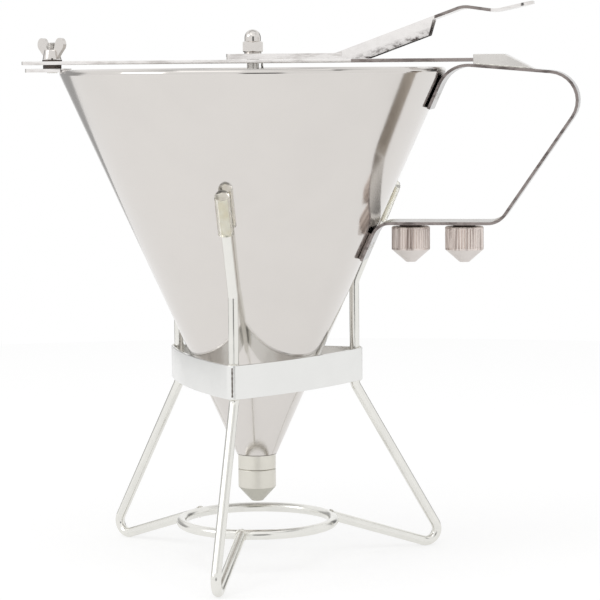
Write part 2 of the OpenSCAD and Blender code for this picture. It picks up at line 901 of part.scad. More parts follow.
module wing_nut() {
    color([0.8, 0.79, 0.77])
        translate([stud_x, 0, wing_nut_z])
            rotate([0, 0, wing_turn])
                difference() {
                    union() {
                        cylinder(h = wing_hub_h, d1 = wing_hub_d, d2 = wing_hub_top_d);
                        wing();
                        mirror([1, 0, 0])
                            wing();
                    }
                    translate([0, 0, -over])
                        cylinder(h = wing_nut_h + 2 * over, d = stud_d + 2 * running_fit);
                }
}

// One wing, leaning out from the hub to its round ear
module wing() {
    ear = [wing_span / 2 - wing_ear_r, wing_nut_h - wing_ear_r];
    ear_side = wing_ear_r * [cos(wing_lean), sin(wing_lean)];
    foot_in = [stud_d / 2 + running_fit, wing_foot_h];
    foot_out = [wing_hub_d / 2 - wing_root, wing_foot_h];
    upright(wing_t) {
        translate(ear)
            circle(r = wing_ear_r);
        polygon([foot_in,
                 foot_out,
                 ear + ear_side,
                 ear - ear_side,
                 [foot_in[0], wing_hub_h]]);
    }
}

// ---- Lever ----

// The lever's middle line as far as its folded sides reach
function side_top_line() =
    concat([for (p = lever_line) if (p[0] < lever_sides_end - over) p],
           [[lever_sides_end, line_z(lever_knee, lever_rise, lever_sides_end)]]);

// The outline of one folded side
function side_outline() =
    let (end_x = lever_sides_end - sides_end_slant)
    concat(side_top_line(),
           [[end_x, (end_x - pivot_x) * tan(lever_rise)], [pivot_x, 0], [-lever_tail, 0]]);

module thumb_lever() {
    color([0.82, 0.81, 0.79])
        translate([0, 0, pivot_z])
            difference() {
                intersection() {
                    union() {
                        upright(lever_w)
                            polygon(sheet_outline(lever_line, lever_t));
                        for (side = [-1, 1])
                            translate([0, side * (lever_w - lever_t) / 2, 0])
                                upright(lever_t)
                                    polygon(side_outline());
                    }
                    lever_plan();
                }
                lever_slot();
            }
}

// The lever's outline from above, with a rounded tail and thumb end
module lever_plan() {
    translate([0, 0, -over])
        linear_extrude(lever_reach) {
            plate(-lever_tail, lever_bend, lever_w, lever_corner_r);
            plate(0, lever_reach + lever_t / 2, lever_w, lever_tip_r);
        }
}

// The slot that lets the lever tilt on the rod
module lever_slot() {
    linear_extrude(lever_flat_h + over) {
        circle(d = lever_hole_w);
        translate([-slot_out, 0])
            circle(d = lever_hole_w);
        translate([-slot_out, -lever_hole_w / 2])
            square([slot_out, lever_hole_w]);
    }
}

// ---- Valve ----

module valve_rod() {
    color([0.78, 0.77, 0.75])
        translate([0, 0, rod_foot_z])
            cylinder(h = rod_top - rod_foot_z, d = rod_d);
}

module cap_nut() {
    dome_r = nut_dome_d / 2;
    dome_z = cap_nut_h - dome_r;
    color([0.84, 0.83, 0.81])
        translate([0, 0, nut_z])
            difference() {
                union() {
                    cylinder(h = nut_face_h, d = nut_face_d);
                    intersection() {
                        translate([0, 0, nut_face_h])
                            rotate([0, 0, nut_turn])
                                cylinder(h = nut_hex_h, d = cap_nut_af * hex_corner, $fn = 6);
                        rotate_extrude()
                            polygon([[0, nut_face_h],
                                     [nut_face_d / 2, nut_face_h],
                                     [cap_nut_af * hex_corner / 2, nut_face_h + nut_chamfer],
                                     [cap_nut_af * hex_corner / 2, nut_face_h + nut_hex_h - nut_chamfer],
                                     [nut_dome_d / 2, nut_face_h + nut_hex_h],
                                     [0, nut_face_h + nut_hex_h]]);
                    }
                    cylinder(h = dome_z, r = dome_r);
                    translate([0, 0, dome_z])
                        sphere(r = dome_r);
                }
                translate([0, 0, -over])
                    cylinder(h = rod_top - nut_z + over, d = rod_d);
            }
}

module rod_collar() {
    color([0.75, 0.74, 0.72])
        translate([0, 0, rod_collar_z])
            difference() {
                cylinder(h = rod_collar_t, d = rod_collar_d);
                translate([0, 0, -over])
                    cylinder(h = rod_collar_t + 2 * over, d = rod_d);
            }
}

module valve_plug() {
    color([0.8, 0.79, 0.77])
        difference() {
            rotate_extrude()
                polygon([[0, plug_foot_z],
                         [plug_foot_r, plug_foot_z],
                         [plug_d / 2, plug_edge_z],
                         [plug_d / 2, plug_top_z],
                         [rod_d / 2 + plug_shoulder / 2, plug_top_z + plug_shoulder],
                         [0, plug_top_z + plug_shoulder]]);
            translate([0, 0, rod_foot_z])
                cylinder(h = plug_top_z, d = rod_d);
        }
}

// The spring's line as [distance round, height]: up, round a small bend, round its curls and up again
function spring_line() =
    let (low = rod_collar_z + rod_collar_t + spring_seat_gap, high = spring_top_z - spring_seat_gap,
         rise = spring_wire_d + spring_end_bend_r, around = spring_curls * PI * spring_d,
         steps = spring_curls * rings_per_curl, last = len(spring_end_turns) - 1)
    concat([[0, low]],
           [for (a = spring_end_turns)
               [spring_end_bend_r * (1 - cos(a)), low + spring_wire_d + spring_end_bend_r * sin(a)]],
           [for (i = [0:steps])
               [spring_end_bend_r + around * i / steps,
                low + rise + (high - low - 2 * rise) * i / steps]],
           [for (i = [last:-1:0])
               let (a = spring_end_turns[i])
               [around + 2 * spring_end_bend_r - spring_end_bend_r * (1 - cos(a)),
                high - spring_wire_d - spring_end_bend_r * sin(a)]],
           [[around + 2 * spring_end_bend_r, high]]);

// A point of the spring's line in space
function on_spring(s) =
    let (a = s[0] / spring_r * 180 / PI)
    [spring_r * cos(a), spring_r * sin(a), s[1]];

// The ring of points round one point of the spring
function spring_ring(line, i) =
    let (before = line[max(i - 1, 0)], after = line[min(i + 1, len(line) - 1)],
         along = way(before, after), a = line[i][0] / spring_r * 180 / PI,
         out = [cos(a), sin(a), 0], side = [-sin(a) * along[1], cos(a) * along[1], -along[0]])
    [for (k = [0:tube_sides - 1])
        let (t = 360 * k / tube_sides)
        on_spring(line[i]) + spring_wire_d / 2 * (out * cos(t) + side * sin(t))];

// Least gap between the wires of two curls, measured on the line's points
function spring_gap(line) =
    let (n = len(line), apart = floor(rings_per_curl / 2))
    min([for (i = [0:n - 1]) for (j = [i + apart:1:n - 1])
        if (line[j][0] - line[i][0] > PI * spring_r)
            norm(on_spring(line[j]) - on_spring(line[i]))]) - spring_wire_d;

module closing_spring() {
    line = spring_line();
    n = len(line);
    m = tube_sides;
    echo(least_spring_gap_mm = spring_gap(line));
    points = [for (i = [0:n - 1]) each spring_ring(line, i)];
    walls = [for (i = [0:n - 2]) for (k = [0:m - 1])
        let (a = i * m + k, b = i * m + (k + 1) % m)
        each [[a, b, b + m], [a, b + m, a + m]]];
    foot = [for (k = [1:m - 2]) [0, k + 1, k]];
    head = [for (k = [1:m - 2]) [(n - 1) * m, (n - 1) * m + k, (n - 1) * m + k + 1]];
    color([0.7, 0.7, 0.68])
        polyhedron(points, concat(walls, foot, head));
}

// ---- Nozzles ----

module fitted_nozzle() {
    color([0.79, 0.77, 0.74])
        translate([0, 0, shoulder_z - touch_gap])
            difference() {
                nozzle_outside(body_h - touch_gap, nose_h, tip_d);
                nozzle_inside(body_h - touch_gap, nose_h, bore_d);
            }
}

module spare_nozzle_a() {
    color([0.74, 0.71, 0.69])
        spare_nozzle(spare_a_x, spare_a_bore_d);
}

module spare_nozzle_b() {
    color([0.74, 0.71, 0.69])
        spare_nozzle(spare_b_x, spare_b_bore_d);
}
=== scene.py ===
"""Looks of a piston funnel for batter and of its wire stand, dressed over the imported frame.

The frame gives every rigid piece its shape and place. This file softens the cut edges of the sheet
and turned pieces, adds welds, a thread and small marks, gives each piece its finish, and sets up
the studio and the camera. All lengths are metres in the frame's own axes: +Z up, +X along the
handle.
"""

from __future__ import annotations

import json
import logging
import math
from collections.abc import Callable, Iterable, Sequence
from dataclasses import dataclass, field, replace
from enum import Enum

import bmesh
import bpy
from mathutils import Matrix, Vector

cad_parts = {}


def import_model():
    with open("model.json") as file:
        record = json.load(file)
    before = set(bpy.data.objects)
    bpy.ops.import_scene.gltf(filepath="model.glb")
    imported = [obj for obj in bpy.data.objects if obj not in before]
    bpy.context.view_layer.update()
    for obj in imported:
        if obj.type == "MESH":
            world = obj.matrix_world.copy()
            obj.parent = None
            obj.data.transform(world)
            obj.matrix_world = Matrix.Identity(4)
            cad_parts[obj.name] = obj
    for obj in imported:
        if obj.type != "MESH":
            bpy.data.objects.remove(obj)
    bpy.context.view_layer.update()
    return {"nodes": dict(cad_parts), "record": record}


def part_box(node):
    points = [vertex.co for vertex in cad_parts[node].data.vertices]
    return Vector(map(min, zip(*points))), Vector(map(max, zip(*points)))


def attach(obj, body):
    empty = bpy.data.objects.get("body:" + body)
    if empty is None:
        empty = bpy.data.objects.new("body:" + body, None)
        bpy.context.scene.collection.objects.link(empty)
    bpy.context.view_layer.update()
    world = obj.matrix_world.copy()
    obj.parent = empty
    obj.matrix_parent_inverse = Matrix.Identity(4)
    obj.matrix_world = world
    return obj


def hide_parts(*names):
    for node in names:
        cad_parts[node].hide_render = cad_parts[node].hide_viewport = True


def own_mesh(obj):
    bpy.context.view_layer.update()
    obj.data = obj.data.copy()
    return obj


LOG = logging.getLogger("batter_funnel")

Colour = tuple[float, float, float]
Point = tuple[float, float, float]


def from_screen(red: int, green: int, blue: int) -> Colour:
    """Turns a colour as read on a screen into the linear one that a shader takes.

    Args:
        red: Red, 0 to 255.
        green: Green, 0 to 255.
        blue: Blue, 0 to 255.

    Returns:
        The same colour, linear, 0 to 1.
    """

    def straighten(level: int) -> float:
        """Undoes the screen's curve for one level."""
        share = level / 255
        return share / 12.92 if share <= 0.04045 else ((share + 0.055) / 1.055) ** 2.4

    return straighten(red), straighten(green), straighten(blue)


# ---- Shader maths ----


class Tap:
    """An output of a node, on which Python's operators add Math nodes."""

    def __init__(self, graph: Graph, socket: bpy.types.NodeSocket) -> None:
        """Keeps the socket and the graph that new nodes go to."""
        self.graph = graph
        self.socket = socket

    def _math(self, operation: str, first: Tap | float, second: Tap | float) -> Tap:
        """Adds one Math node.

        Args:
            operation: The node's operation.
            first: What goes to the first socket.
            second: What goes to the second socket.

        Returns:
            The node's output.
        """
        return self.graph.add("ShaderNodeMath", {"operation": operation}, {0: first, 1: second})

    def __add__(self, other: Tap | float) -> Tap:
        """Self plus other."""
        return self._math("ADD", self, other)

    def __radd__(self, other: float) -> Tap:
        """Other plus self."""
        return self._math("ADD", other, self)

    def __sub__(self, other: Tap | float) -> Tap:
        """Self minus other."""
        return self._math("SUBTRACT", self, other)

    def __rsub__(self, other: float) -> Tap:
        """Other minus self."""
        return self._math("SUBTRACT", other, self)

    def __mul__(self, other: Tap | float) -> Tap:
        """Self times other."""
        return self._math("MULTIPLY", self, other)

    def __rmul__(self, other: float) -> Tap:
        """Other times self."""
        return self._math("MULTIPLY", other, self)

    def __truediv__(self, other: Tap | float) -> Tap:
        """Self divided by other."""
        return self._math("DIVIDE", self, other)

    def __rtruediv__(self, other: float) -> Tap:
        """Other divided by self."""
        return self._math("DIVIDE", other, self)

    def most(self, other: Tap | float) -> Tap:
        """The larger of self and other."""
        return self._math("MAXIMUM", self, other)

    def least(self, other: Tap | float) -> Tap:
        """The smaller of self and other."""
        return self._math("MINIMUM", self, other)

    def step(self, low: float, high: float) -> Tap:
        """A soft step.

        Args:
            low: Where the step starts to rise from 0.
            high: Where it reaches 1.

        Returns:
            A value from 0 to 1.
        """
        return self.graph.add(
            "ShaderNodeMapRange",
            {"interpolation_type": "SMOOTHSTEP", "clamp": True},
            {"Value": self, "From Min": low, "From Max": high, "To Min": 0.0, "To Max": 1.0},
        )


class Graph:
    """The node tree of one material or of the world."""

    MIX_SHARE, MIX_FIRST, MIX_SECOND, MIX_COLOUR = 0, 6, 7, 2

    def __init__(self, owner: bpy.types.Material | bpy.types.World) -> None:
        """Takes the node tree of a material or of the world, and empties it.

        Args:
            owner: The material or the world.
        """
        owner.use_nodes = True
        self.tree = owner.node_tree
        self.tree.nodes.clear()

    def node(
        self,
        kind: str,
        settings: dict[str, object] | None = None,
        inputs: dict[str | int, object] | None = None,
    ) -> bpy.types.Node:
        """Adds a node of any kind.

        Args:
            kind: The node's type name.
            settings: The node's own settings, set before its sockets.
            inputs: Values or taps for its sockets, by name or number.

        Returns:
            The node.
        """
        made = self.tree.nodes.new(kind)
        for name, value in (settings or {}).items():
            setattr(made, name, value)
        for name, value in (inputs or {}).items():
            socket = made.inputs[name]
            if isinstance(value, Tap):
                self.tree.links.new(value.socket, socket)
            else:
                socket.default_value = value
        return made

    def add(
        self,
        kind: str,
        settings: dict[str, object] | None = None,
        inputs: dict[str | int, object] | None = None,
        output: str | int = 0,
    ) -> Tap:
        """Adds a node and gives one of its outputs.

        Args:
            kind: The node's type name.
            settings: The node's own settings.
            inputs: Values or taps for its sockets.
            output: The output wanted, by name or number.

        Returns:
            That output.
        """
        return Tap(self, self.node(kind, settings, inputs).outputs[output])

    def place(self) -> Tap:
        """The point being shaded, in the piece's own axes."""
        return self.add("ShaderNodeTexCoord", output="Object")

    def ray(self, *kinds: str) -> Tap:
        """Whether the ray being followed is of one of some kinds.

        Args:
            kinds: The kinds, such as "Camera" or "Glossy".

        Returns:
            1 where it is, 0 elsewhere.
        """
        path = self.node("ShaderNodeLightPath")
        first, *rest = (Tap(self, path.outputs[f"Is {kind} Ray"]) for kind in kinds)
        for other in rest:
            first = first.most(other)
        return first

    def stretched(self, vector: Tap, scale: Sequence[float]) -> Tap:
        """A vector with its parts multiplied.

        Args:
            vector: The vector.
            scale: One factor for each part.

        Returns:
            The new vector.
        """
        return self.add("ShaderNodeVectorMath", {"operation": "MULTIPLY"}, {0: vector, 1: tuple(scale)})

    def noise(self, vector: Tap, scale: float, detail: float = 2.0, roughness: float = 0.5) -> Tap:
        """Soft noise from 0 to 1.

        Args:
            vector: Where it is read.
            scale: How many features there are in a metre.
            detail: How many finer layers it has.
            roughness: How strong those are.

        Returns:
            The noise's level.
        """
        return self.add(
            "ShaderNodeTexNoise",
            {"noise_dimensions": "3D"},
            {"Vector": vector, "Scale": scale, "Detail": detail, "Roughness": roughness},
        )

    def mixed(self, share: Tap | float, first: Tap | Colour, second: Tap | Colour) -> Tap:
        """Mixes two colours.

        Args:
            share: How much of the second, 0 to 1.
            first: The first colour.
            second: The second colour.

        Returns:
            The mixed colour.
        """
        ends = [end if isinstance(end, Tap) else (*end, 1.0) for end in (first, second)]
        inputs = {self.MIX_SHARE: share, self.MIX_FIRST: ends[0], self.MIX_SECOND: ends[1]}
        return self.add("ShaderNodeMix", {"data_type": "RGBA"}, inputs, self.MIX_COLOUR)

    def bump(self, height: Tap, strength: float = 1.0) -> Tap:
        """A normal bent by a height in metres.

        Args:
            height: The height.
            strength: How much of it shows.

        Returns:
            The bent normal.
        """
        return self.add("ShaderNodeBump", {}, {"Strength": strength, "Distance": 1.0, "Height": height})


# ---- Finishes ----


class Grain(Enum):
    """The way that fine working marks run, as how often they cross each axis in a metre."""

    SPUN = (60.0, 60.0, 2600.0)
    ROLLED_X = (40.0, 2200.0, 2200.0)
    UPRIGHT = (1500.0, 1500.0, 50.0)
    RANDOM = (900.0, 900.0, 900.0)


@dataclass(frozen=True)
class ShadeRamp:
    """Painted shade that deepens along a direction, with the mottling fading in along it: the direction, and
    how far along it the fading starts and ends.
    """

    way: Point
    start: float
    end: float


@dataclass(frozen=True)
class Steel:
    """A metal finish: fine working marks, a slow wave in the sheet, smudges, mottling, and painted shade
    along a ramp where one is given.
    """

    name: str
    slot: str
    colour: Colour
    roughness: float
    grain: Grain = Grain.RANDOM
    grain_depth: float = 1.2e-6
    wave_scale: float = 26.0
    wave_depth: float = 3.0e-5
    smudge: float = 0.06
    mottle: float = 0.0
    mottle_scale: float = 420.0
    mottle_grain: Point = (1.0, 1.0, 1.0)
    shade: Colour = (0.2, 0.19, 0.18)
    shade_ramp: ShadeRamp | None = None
    glance: float = 1.0

    def material(self) -> bpy.types.Material:
        """Makes the finish.

        Returns:
            The material.
        """
        made = bpy.data.materials.new(self.name)
        graph = Graph(made)
        place = graph.place()
        marks = graph.noise(graph.stretched(place, self.grain.value), 1.0, 3.0, 0.6)
        wave = graph.noise(place, self.wave_scale, 1.0, 0.4)
        film = graph.noise(place, self.wave_scale * 1.7, 4.0, 0.62).step(0.36, 0.72)
        colour = graph.mixed(film * 0.35, self.colour, tuple(c * 0.94 for c in self.colour))
        if self.mottle > 0:
            colour = graph.mixed(self._mottle_and_shade(graph, place), colour, self.shade)
        roughness = (self.roughness + film * self.smudge + (marks - 0.5) * 0.05).most(0.03)
        height = marks * self.grain_depth + wave * self.wave_depth
        shader = graph.add(
            "ShaderNodeBsdfPrincipled",
            {},
            {
                "Base Color": colour,
                "Metallic": 1.0,
                "Roughness": roughness,
                "Specular Tint": (self.glance, self.glance, self.glance, 1.0),
                "Normal": graph.bump(height),
            },
        )
        graph.node("ShaderNodeOutputMaterial", {}, {"Surface": shader})
        return made

    def _mottle_and_shade(self, graph: Graph, place: Tap) -> Tap:
        """How dark the mottling is at a place, with the ramp's painted shade where one is given.

        Args:
            graph: The material's tree.
            place: The point being shaded.

        Returns:
            Its share, 0 to 1.
        """
        spots = graph.noise(graph.stretched(place, self.mottle_grain), self.mottle_scale, 3.0, 0.7)
        share = spots.step(0.42, 0.66) * self.mottle
        if self.shade_ramp is None:
            return share
        # Painted shade: the mottling grows and darkens along the shade ramp.
        along = graph.add(
            "ShaderNodeVectorMath", {"operation": "DOT_PRODUCT"}, {0: place, 1: self.shade_ramp.way}, "Value"
        )
        ramp = (along - self.shade_ramp.start) / (self.shade_ramp.end - self.shade_ramp.start)
        return (share + ramp * 0.25).most(0.0) * ramp.most(0.0).least(1.0)


@dataclass(frozen=True)
class Vinyl:
    """Clear vinyl with an amber tinge, a little cloudy, with fine scuffs."""

    name: str
    slot: str
    colour: Colour
    deep: Colour
    roughness: float
    clearness: float

    def material(self) -> bpy.types.Material:
        """Makes the finish.

        Returns:
            The material.
        """
        made = bpy.data.materials.new(self.name)
        graph = Graph(made)
        place = graph.place()
        cloud = graph.noise(place, 260.0, 4.0, 0.6).step(0.35, 0.7)
        scuffs = graph.noise(graph.stretched(place, (1500.0, 1500.0, 260.0)), 1.0, 3.0, 0.7)
        shader = graph.add(
            "ShaderNodeBsdfPrincipled",
            {},
            {
                "Base Color": graph.mixed(cloud, self.colour, self.deep),
                "Roughness": (self.roughness + cloud * 0.06 + scuffs * 0.05).least(0.9),
                "IOR": 1.45,
                "Transmission Weight": self.clearness,
                "Normal": graph.bump(scuffs * 6.0e-6 + cloud * 3.0e-5),
            },
        )
        graph.node("ShaderNodeOutputMaterial", {}, {"Surface": shader})
        return made


POLISHED_CONE = Steel(
    "polished_cone", "polished_cone", from_screen(216, 212, 208), roughness=0.10, grain=Grain.SPUN,
    grain_depth=8.0e-7, wave_scale=14.0, wave_depth=1.6e-4, smudge=0.05,
)
POLISHED_STRIP = Steel(
    "polished_strip", "polished_strip", from_screen(218, 215, 211), roughness=0.16, grain=Grain.ROLLED_X,
    wave_scale=40.0, wave_depth=6e-5, smudge=0.08,
)
BAND_STRIP = Steel(
    "band_strip", "polished_strip", from_screen(233, 233, 231), roughness=0.2, grain_depth=4.0e-7,
    wave_scale=20.0, smudge=0.05,
)
CONE_INSIDE = Steel(
    "cone_inside", "polished_cone", from_screen(239, 238, 236), roughness=0.24, grain=Grain.SPUN,
    grain_depth=1.6e-6, wave_scale=14.0, wave_depth=8.0e-5, smudge=0.08,
)
HANDLE_STRIP = Steel(
    "handle_strip", "polished_strip", from_screen(208, 206, 205), roughness=0.16, grain=Grain.ROLLED_X,
    wave_scale=60.0, wave_depth=7.0e-5, smudge=0.08, glance=0.78,
)
# The grip's inside: brushed, with a darker warm colour and mottling as painted shade.
HANDLE_INSIDE_SHADE = Steel(
    "handle_inside_shade", "polished_strip", from_screen(200, 192, 182), roughness=0.3, grain=Grain.ROLLED_X,
    grain_depth=3.0e-6, wave_scale=60.0, wave_depth=7.0e-5, smudge=0.1, mottle=0.35, mottle_scale=260.0,
    shade=from_screen(156, 146, 135), glance=0.8,
)
HANDLE_RUN = Steel(
    "handle_run", "polished_strip", from_screen(224, 221, 217), roughness=0.24, grain=Grain.ROLLED_X,
    grain_depth=2.0e-6, wave_scale=60.0, wave_depth=5.0e-5, smudge=0.1, glance=0.74,
)
CUT_EDGE = Steel(
    "cut_edge", "polished_strip", from_screen(160, 151, 148), roughness=0.34, grain_depth=4.0e-6,
    wave_scale=300.0, wave_depth=4.0e-5, smudge=0.12, mottle=0.8, mottle_scale=380.0,
    mottle_grain=(0.35, 1.0, 1.0), shade=from_screen(98, 90, 88),
)
BRIGHT_EDGE = Steel(
    "bright_edge", "polished_strip", from_screen(236, 233, 231), roughness=0.12, grain=Grain.ROLLED_X,
    grain_depth=1.0e-6, wave_scale=160.0, wave_depth=2.0e-5, smudge=0.05, mottle=0.45, mottle_scale=120.0,
    mottle_grain=(0.5, 1.0, 2.5), shade=from_screen(160, 153, 148),
)
BAR_EDGE = Steel(
    "bar_edge", "polished_strip", from_screen(166, 157, 154), roughness=0.32, grain=Grain.ROLLED_X,
    grain_depth=3.0e-6, wave_scale=160.0, wave_depth=4.0e-5, smudge=0.1, mottle=0.6, mottle_scale=160.0,
    mottle_grain=(0.5, 1.0, 1.6), shade=from_screen(104, 95, 92),
)
LEVER_SHEET = Steel(
    "lever_sheet", "polished_strip", from_screen(222, 219, 216), roughness=0.18, grain=Grain.ROLLED_X,
    grain_depth=1.4e-6, wave_scale=90.0, wave_depth=9e-5, smudge=0.1,
)
# The rising side's press marks fade in towards its lower edge and darken there: painted shade along that
# edge.
LEVER_SIDE = Steel(
    "lever_side", "polished_strip", from_screen(238, 235, 233), roughness=0.12, grain=Grain.ROLLED_X,
    grain_depth=1.6e-6, wave_scale=160.0, wave_depth=5.0e-5, smudge=0.08, mottle=0.9,
    mottle_grain=(0.6, 1.0, 1.0), shade=from_screen(84, 76, 74),
    shade_ramp=ShadeRamp((0.342, 0.0, -0.94), -0.2207, -0.2172),
)
POLISHED_NUT = Steel(
    "polished_nut", "polished_nut", from_screen(216, 212, 208), roughness=0.12, grain_depth=1.0e-6,
    wave_scale=160.0, wave_depth=4.0e-5, smudge=0.08,
)
TURNED = Steel(
    "turned", "satin_parts", from_screen(221, 218, 209), roughness=0.3, grain=Grain.SPUN,
    grain_depth=5.0e-6, wave_scale=60.0, wave_depth=2.0e-5, smudge=0.08,
)
SERRATED = Steel(
    "serrated", "satin_parts", from_screen(219, 216, 207), roughness=0.3, grain=Grain.UPRIGHT,
    grain_depth=1.4e-5, wave_scale=60.0, wave_depth=2.0e-5, smudge=0.08,
)
TAPER_SATIN = Steel(
    "taper_satin", "satin_parts", from_screen(192, 190, 180), roughness=0.36, grain=Grain.SPUN,
    grain_depth=4.0e-6, wave_scale=60.0, wave_depth=2e-5,
)
KNURLED = Steel(
    "knurled", "knurled_nozzles", from_screen(236, 226, 220), roughness=0.44, grain=Grain.UPRIGHT,
    grain_depth=6.0e-6, wave_scale=80.0, wave_depth=2.0e-5, smudge=0.12, mottle=0.8,
    mottle_grain=(1.0, 1.0, 0.05), shade=from_screen(156, 141, 134),
)
KNURLED_TAPER = Steel(
    "knurled_taper", "knurled_nozzles", from_screen(218, 212, 208), roughness=0.4, grain=Grain.SPUN,
    grain_depth=3.0e-6, wave_scale=80.0, wave_depth=2.0e-5,
)
SHAFT = Steel(
    "shaft", "steel_parts", from_screen(205, 202, 198), roughness=0.2, grain=Grain.SPUN, grain_depth=1.6e-6,
    wave_scale=80.0, wave_depth=2.0e-5, smudge=0.08,
)
# Dark colour of the nozzle stubs: painted shadow in the gap between the handle strip and the spare nozzles.
STUB_SHADOW = Steel(
    "stub_painted_shadow", "steel_parts", from_screen(70, 62, 58), roughness=0.4, grain=Grain.SPUN,
    grain_depth=2.0e-6, wave_scale=120.0, wave_depth=2.0e-5, smudge=0.1,
)
# Dark colour of the steel spacer nut and washer: painted shade between the bar and the rim tab and under the
# wing nut.
FIXING_SHADE = Steel(
    "fixing_painted_shade", "dark_fixings", from_screen(92, 84, 80), roughness=0.34, grain_depth=2.0e-6,
    wave_scale=120.0, wave_depth=4.0e-5, smudge=0.12,
)
SEAM = Steel(
    "seam", "polished_strip", from_screen(118, 112, 106), roughness=0.4, grain_depth=3.0e-6,
    wave_scale=300.0, wave_depth=4.0e-5, smudge=0.12, mottle=0.5,
)
# Colour of the dark collar bead: painted shadow in the step where the collar meets the cone.
COLLAR_SHADOW = replace(SEAM, name="collar_shadow_bead", slot="satin_parts")
SPRING_WIRE = Steel(
    "spring_wire", "spring_wire", from_screen(196, 194, 190), roughness=0.22, grain_depth=1.0e-6,
    wave_scale=200.0, wave_depth=1.0e-5,
)
PLATED_WIRE = Steel(
    "plated_wire", "plated_wire", from_screen(231, 230, 225), roughness=0.13, grain=Grain.UPRIGHT,
    grain_depth=1.0e-6, wave_scale=70.0, wave_depth=1.1e-4, smudge=0.12,
)
WELD = Steel(
    "weld", "plated_wire", from_screen(228, 226, 219), roughness=0.26, grain_depth=6.0e-6, wave_scale=500.0,
    wave_depth=9.0e-5, smudge=0.15, mottle=0.3, mottle_scale=900.0, shade=from_screen(96, 90, 84),
)
STRIP_WELD = replace(WELD, name="strip_weld", slot="polished_strip")
DARK_SOLDER = replace(SEAM, name="dark_solder", colour=from_screen(132, 121, 116))
AMBER_VINYL = Vinyl(
    "amber_vinyl", "vinyl", from_screen(251, 250, 244), deep=from_screen(247, 243, 229), roughness=0.1,
    clearness=0.95,
)


# ---- Meshes ----


def new_piece(name: str, mesh: bpy.types.Mesh) -> bpy.types.Object:
    """Puts a mesh into the scene as an object.

    Args:
        name: The piece's name.
        mesh: Its mesh, in the frame's axes.

    Returns:
        The object.
    """
    piece = bpy.data.objects.new(name, mesh)
    bpy.context.scene.collection.objects.link(piece)
    return piece


def mesh_from(name: str, points: Sequence[Sequence[float]], faces: Sequence[Sequence[int]]) -> bpy.types.Mesh:
    """Makes a smooth mesh from points and faces.

    Args:
        name: The mesh's name.
        points: Its points.
        faces: Its faces, as numbers of points.

    Returns:
        The mesh, with its normals outwards.
    """
    mesh = bpy.data.meshes.new(name)
    mesh.from_pydata([tuple(p) for p in points], [], [tuple(f) for f in faces])
    work = bmesh.new()
    work.from_mesh(mesh)
    bmesh.ops.recalc_face_normals(work, faces=work.faces)
    for face in work.faces:
        face.smooth = True
    work.to_mesh(mesh)
    work.free()
    return mesh


def turned_mesh(name: str, outline: Sequence[tuple[float, float]], steps: int = 32) -> bpy.types.Mesh:
    """Turns an outline round the Z axis.

    Args:
        name: The mesh's name.
        outline: Radius and height of each point, the first and last on the axis.
        steps: Steps round the axis.

    Returns:
        The mesh.
    """
    points: list[Point] = [(0.0, 0.0, outline[0][1])]
    inner = outline[1:-1]
    for radius, height in inner:
        for k in range(steps):
            turn = 2 * math.pi * k / steps
            points.append((radius * math.cos(turn), radius * math.sin(turn), height))
    points.append((0.0, 0.0, outline[-1][1]))
    last = len(points) - 1
    faces: list[tuple[int, ...]] = []
    for k in range(steps):
        m = (k + 1) % steps
        faces.append((0, 1 + k, 1 + m))
        for i in range(len(inner) - 1):
            a = 1 + i * steps
            faces.append((a + k, a + steps + k, a + steps + m, a + m))
        top = 1 + (len(inner) - 1) * steps
        faces.append((last, top + m, top + k))
    return mesh_from(name, points, faces)


def wobble(i: int, seed: float) -> float:
    """A steady irregular value from -1 to 1 for point number i."""
    return math.sin(i * 1.7 + seed) * 0.6 + math.sin(i * 4.1 + seed * 2.3) * 0.4


def outward(turn: float) -> Vector:
    """The level direction from the axis at a turn in degrees."""
    return Vector((math.cos(math.radians(turn)), math.sin(math.radians(turn)), 0.0))


def ring_path(centre: Vector, radius: float, steps: int) -> list[Vector]:
    """A level circle as a path.

    Args:
        centre: The circle's centre.
        radius: Its radius.
        steps: How many points the path has.

    Returns:
        The path.
    """
    turns = (2 * math.pi * i / steps for i in range(steps))
    return [centre + Vector((math.cos(turn), math.sin(turn), 0.0)) * radius for turn in turns]


def tube_faces(rings: int, sides: int, closed: bool) -> list[tuple[int, ...]]:
    """The faces of a tube of rings of points.

    Args:
        rings: How many rings it has.
        sides: How many points each ring has.
        closed: Whether the last ring joins the first, and not both ends a flat cap.

    Returns:
        The faces, as numbers of points.
    """
    faces: list[tuple[int, ...]] = []
    for i in range(rings if closed else rings - 1):
        row, following = i * sides, (i + 1) % rings * sides
        for k in range(sides):
            m = (k + 1) % sides
            faces.append((row + k, row + m, following + m, following + k))
    if not closed:
        faces.append(tuple(range(sides)))
        faces.append(tuple((rings - 1) * sides + k for k in reversed(range(sides))))
    return faces


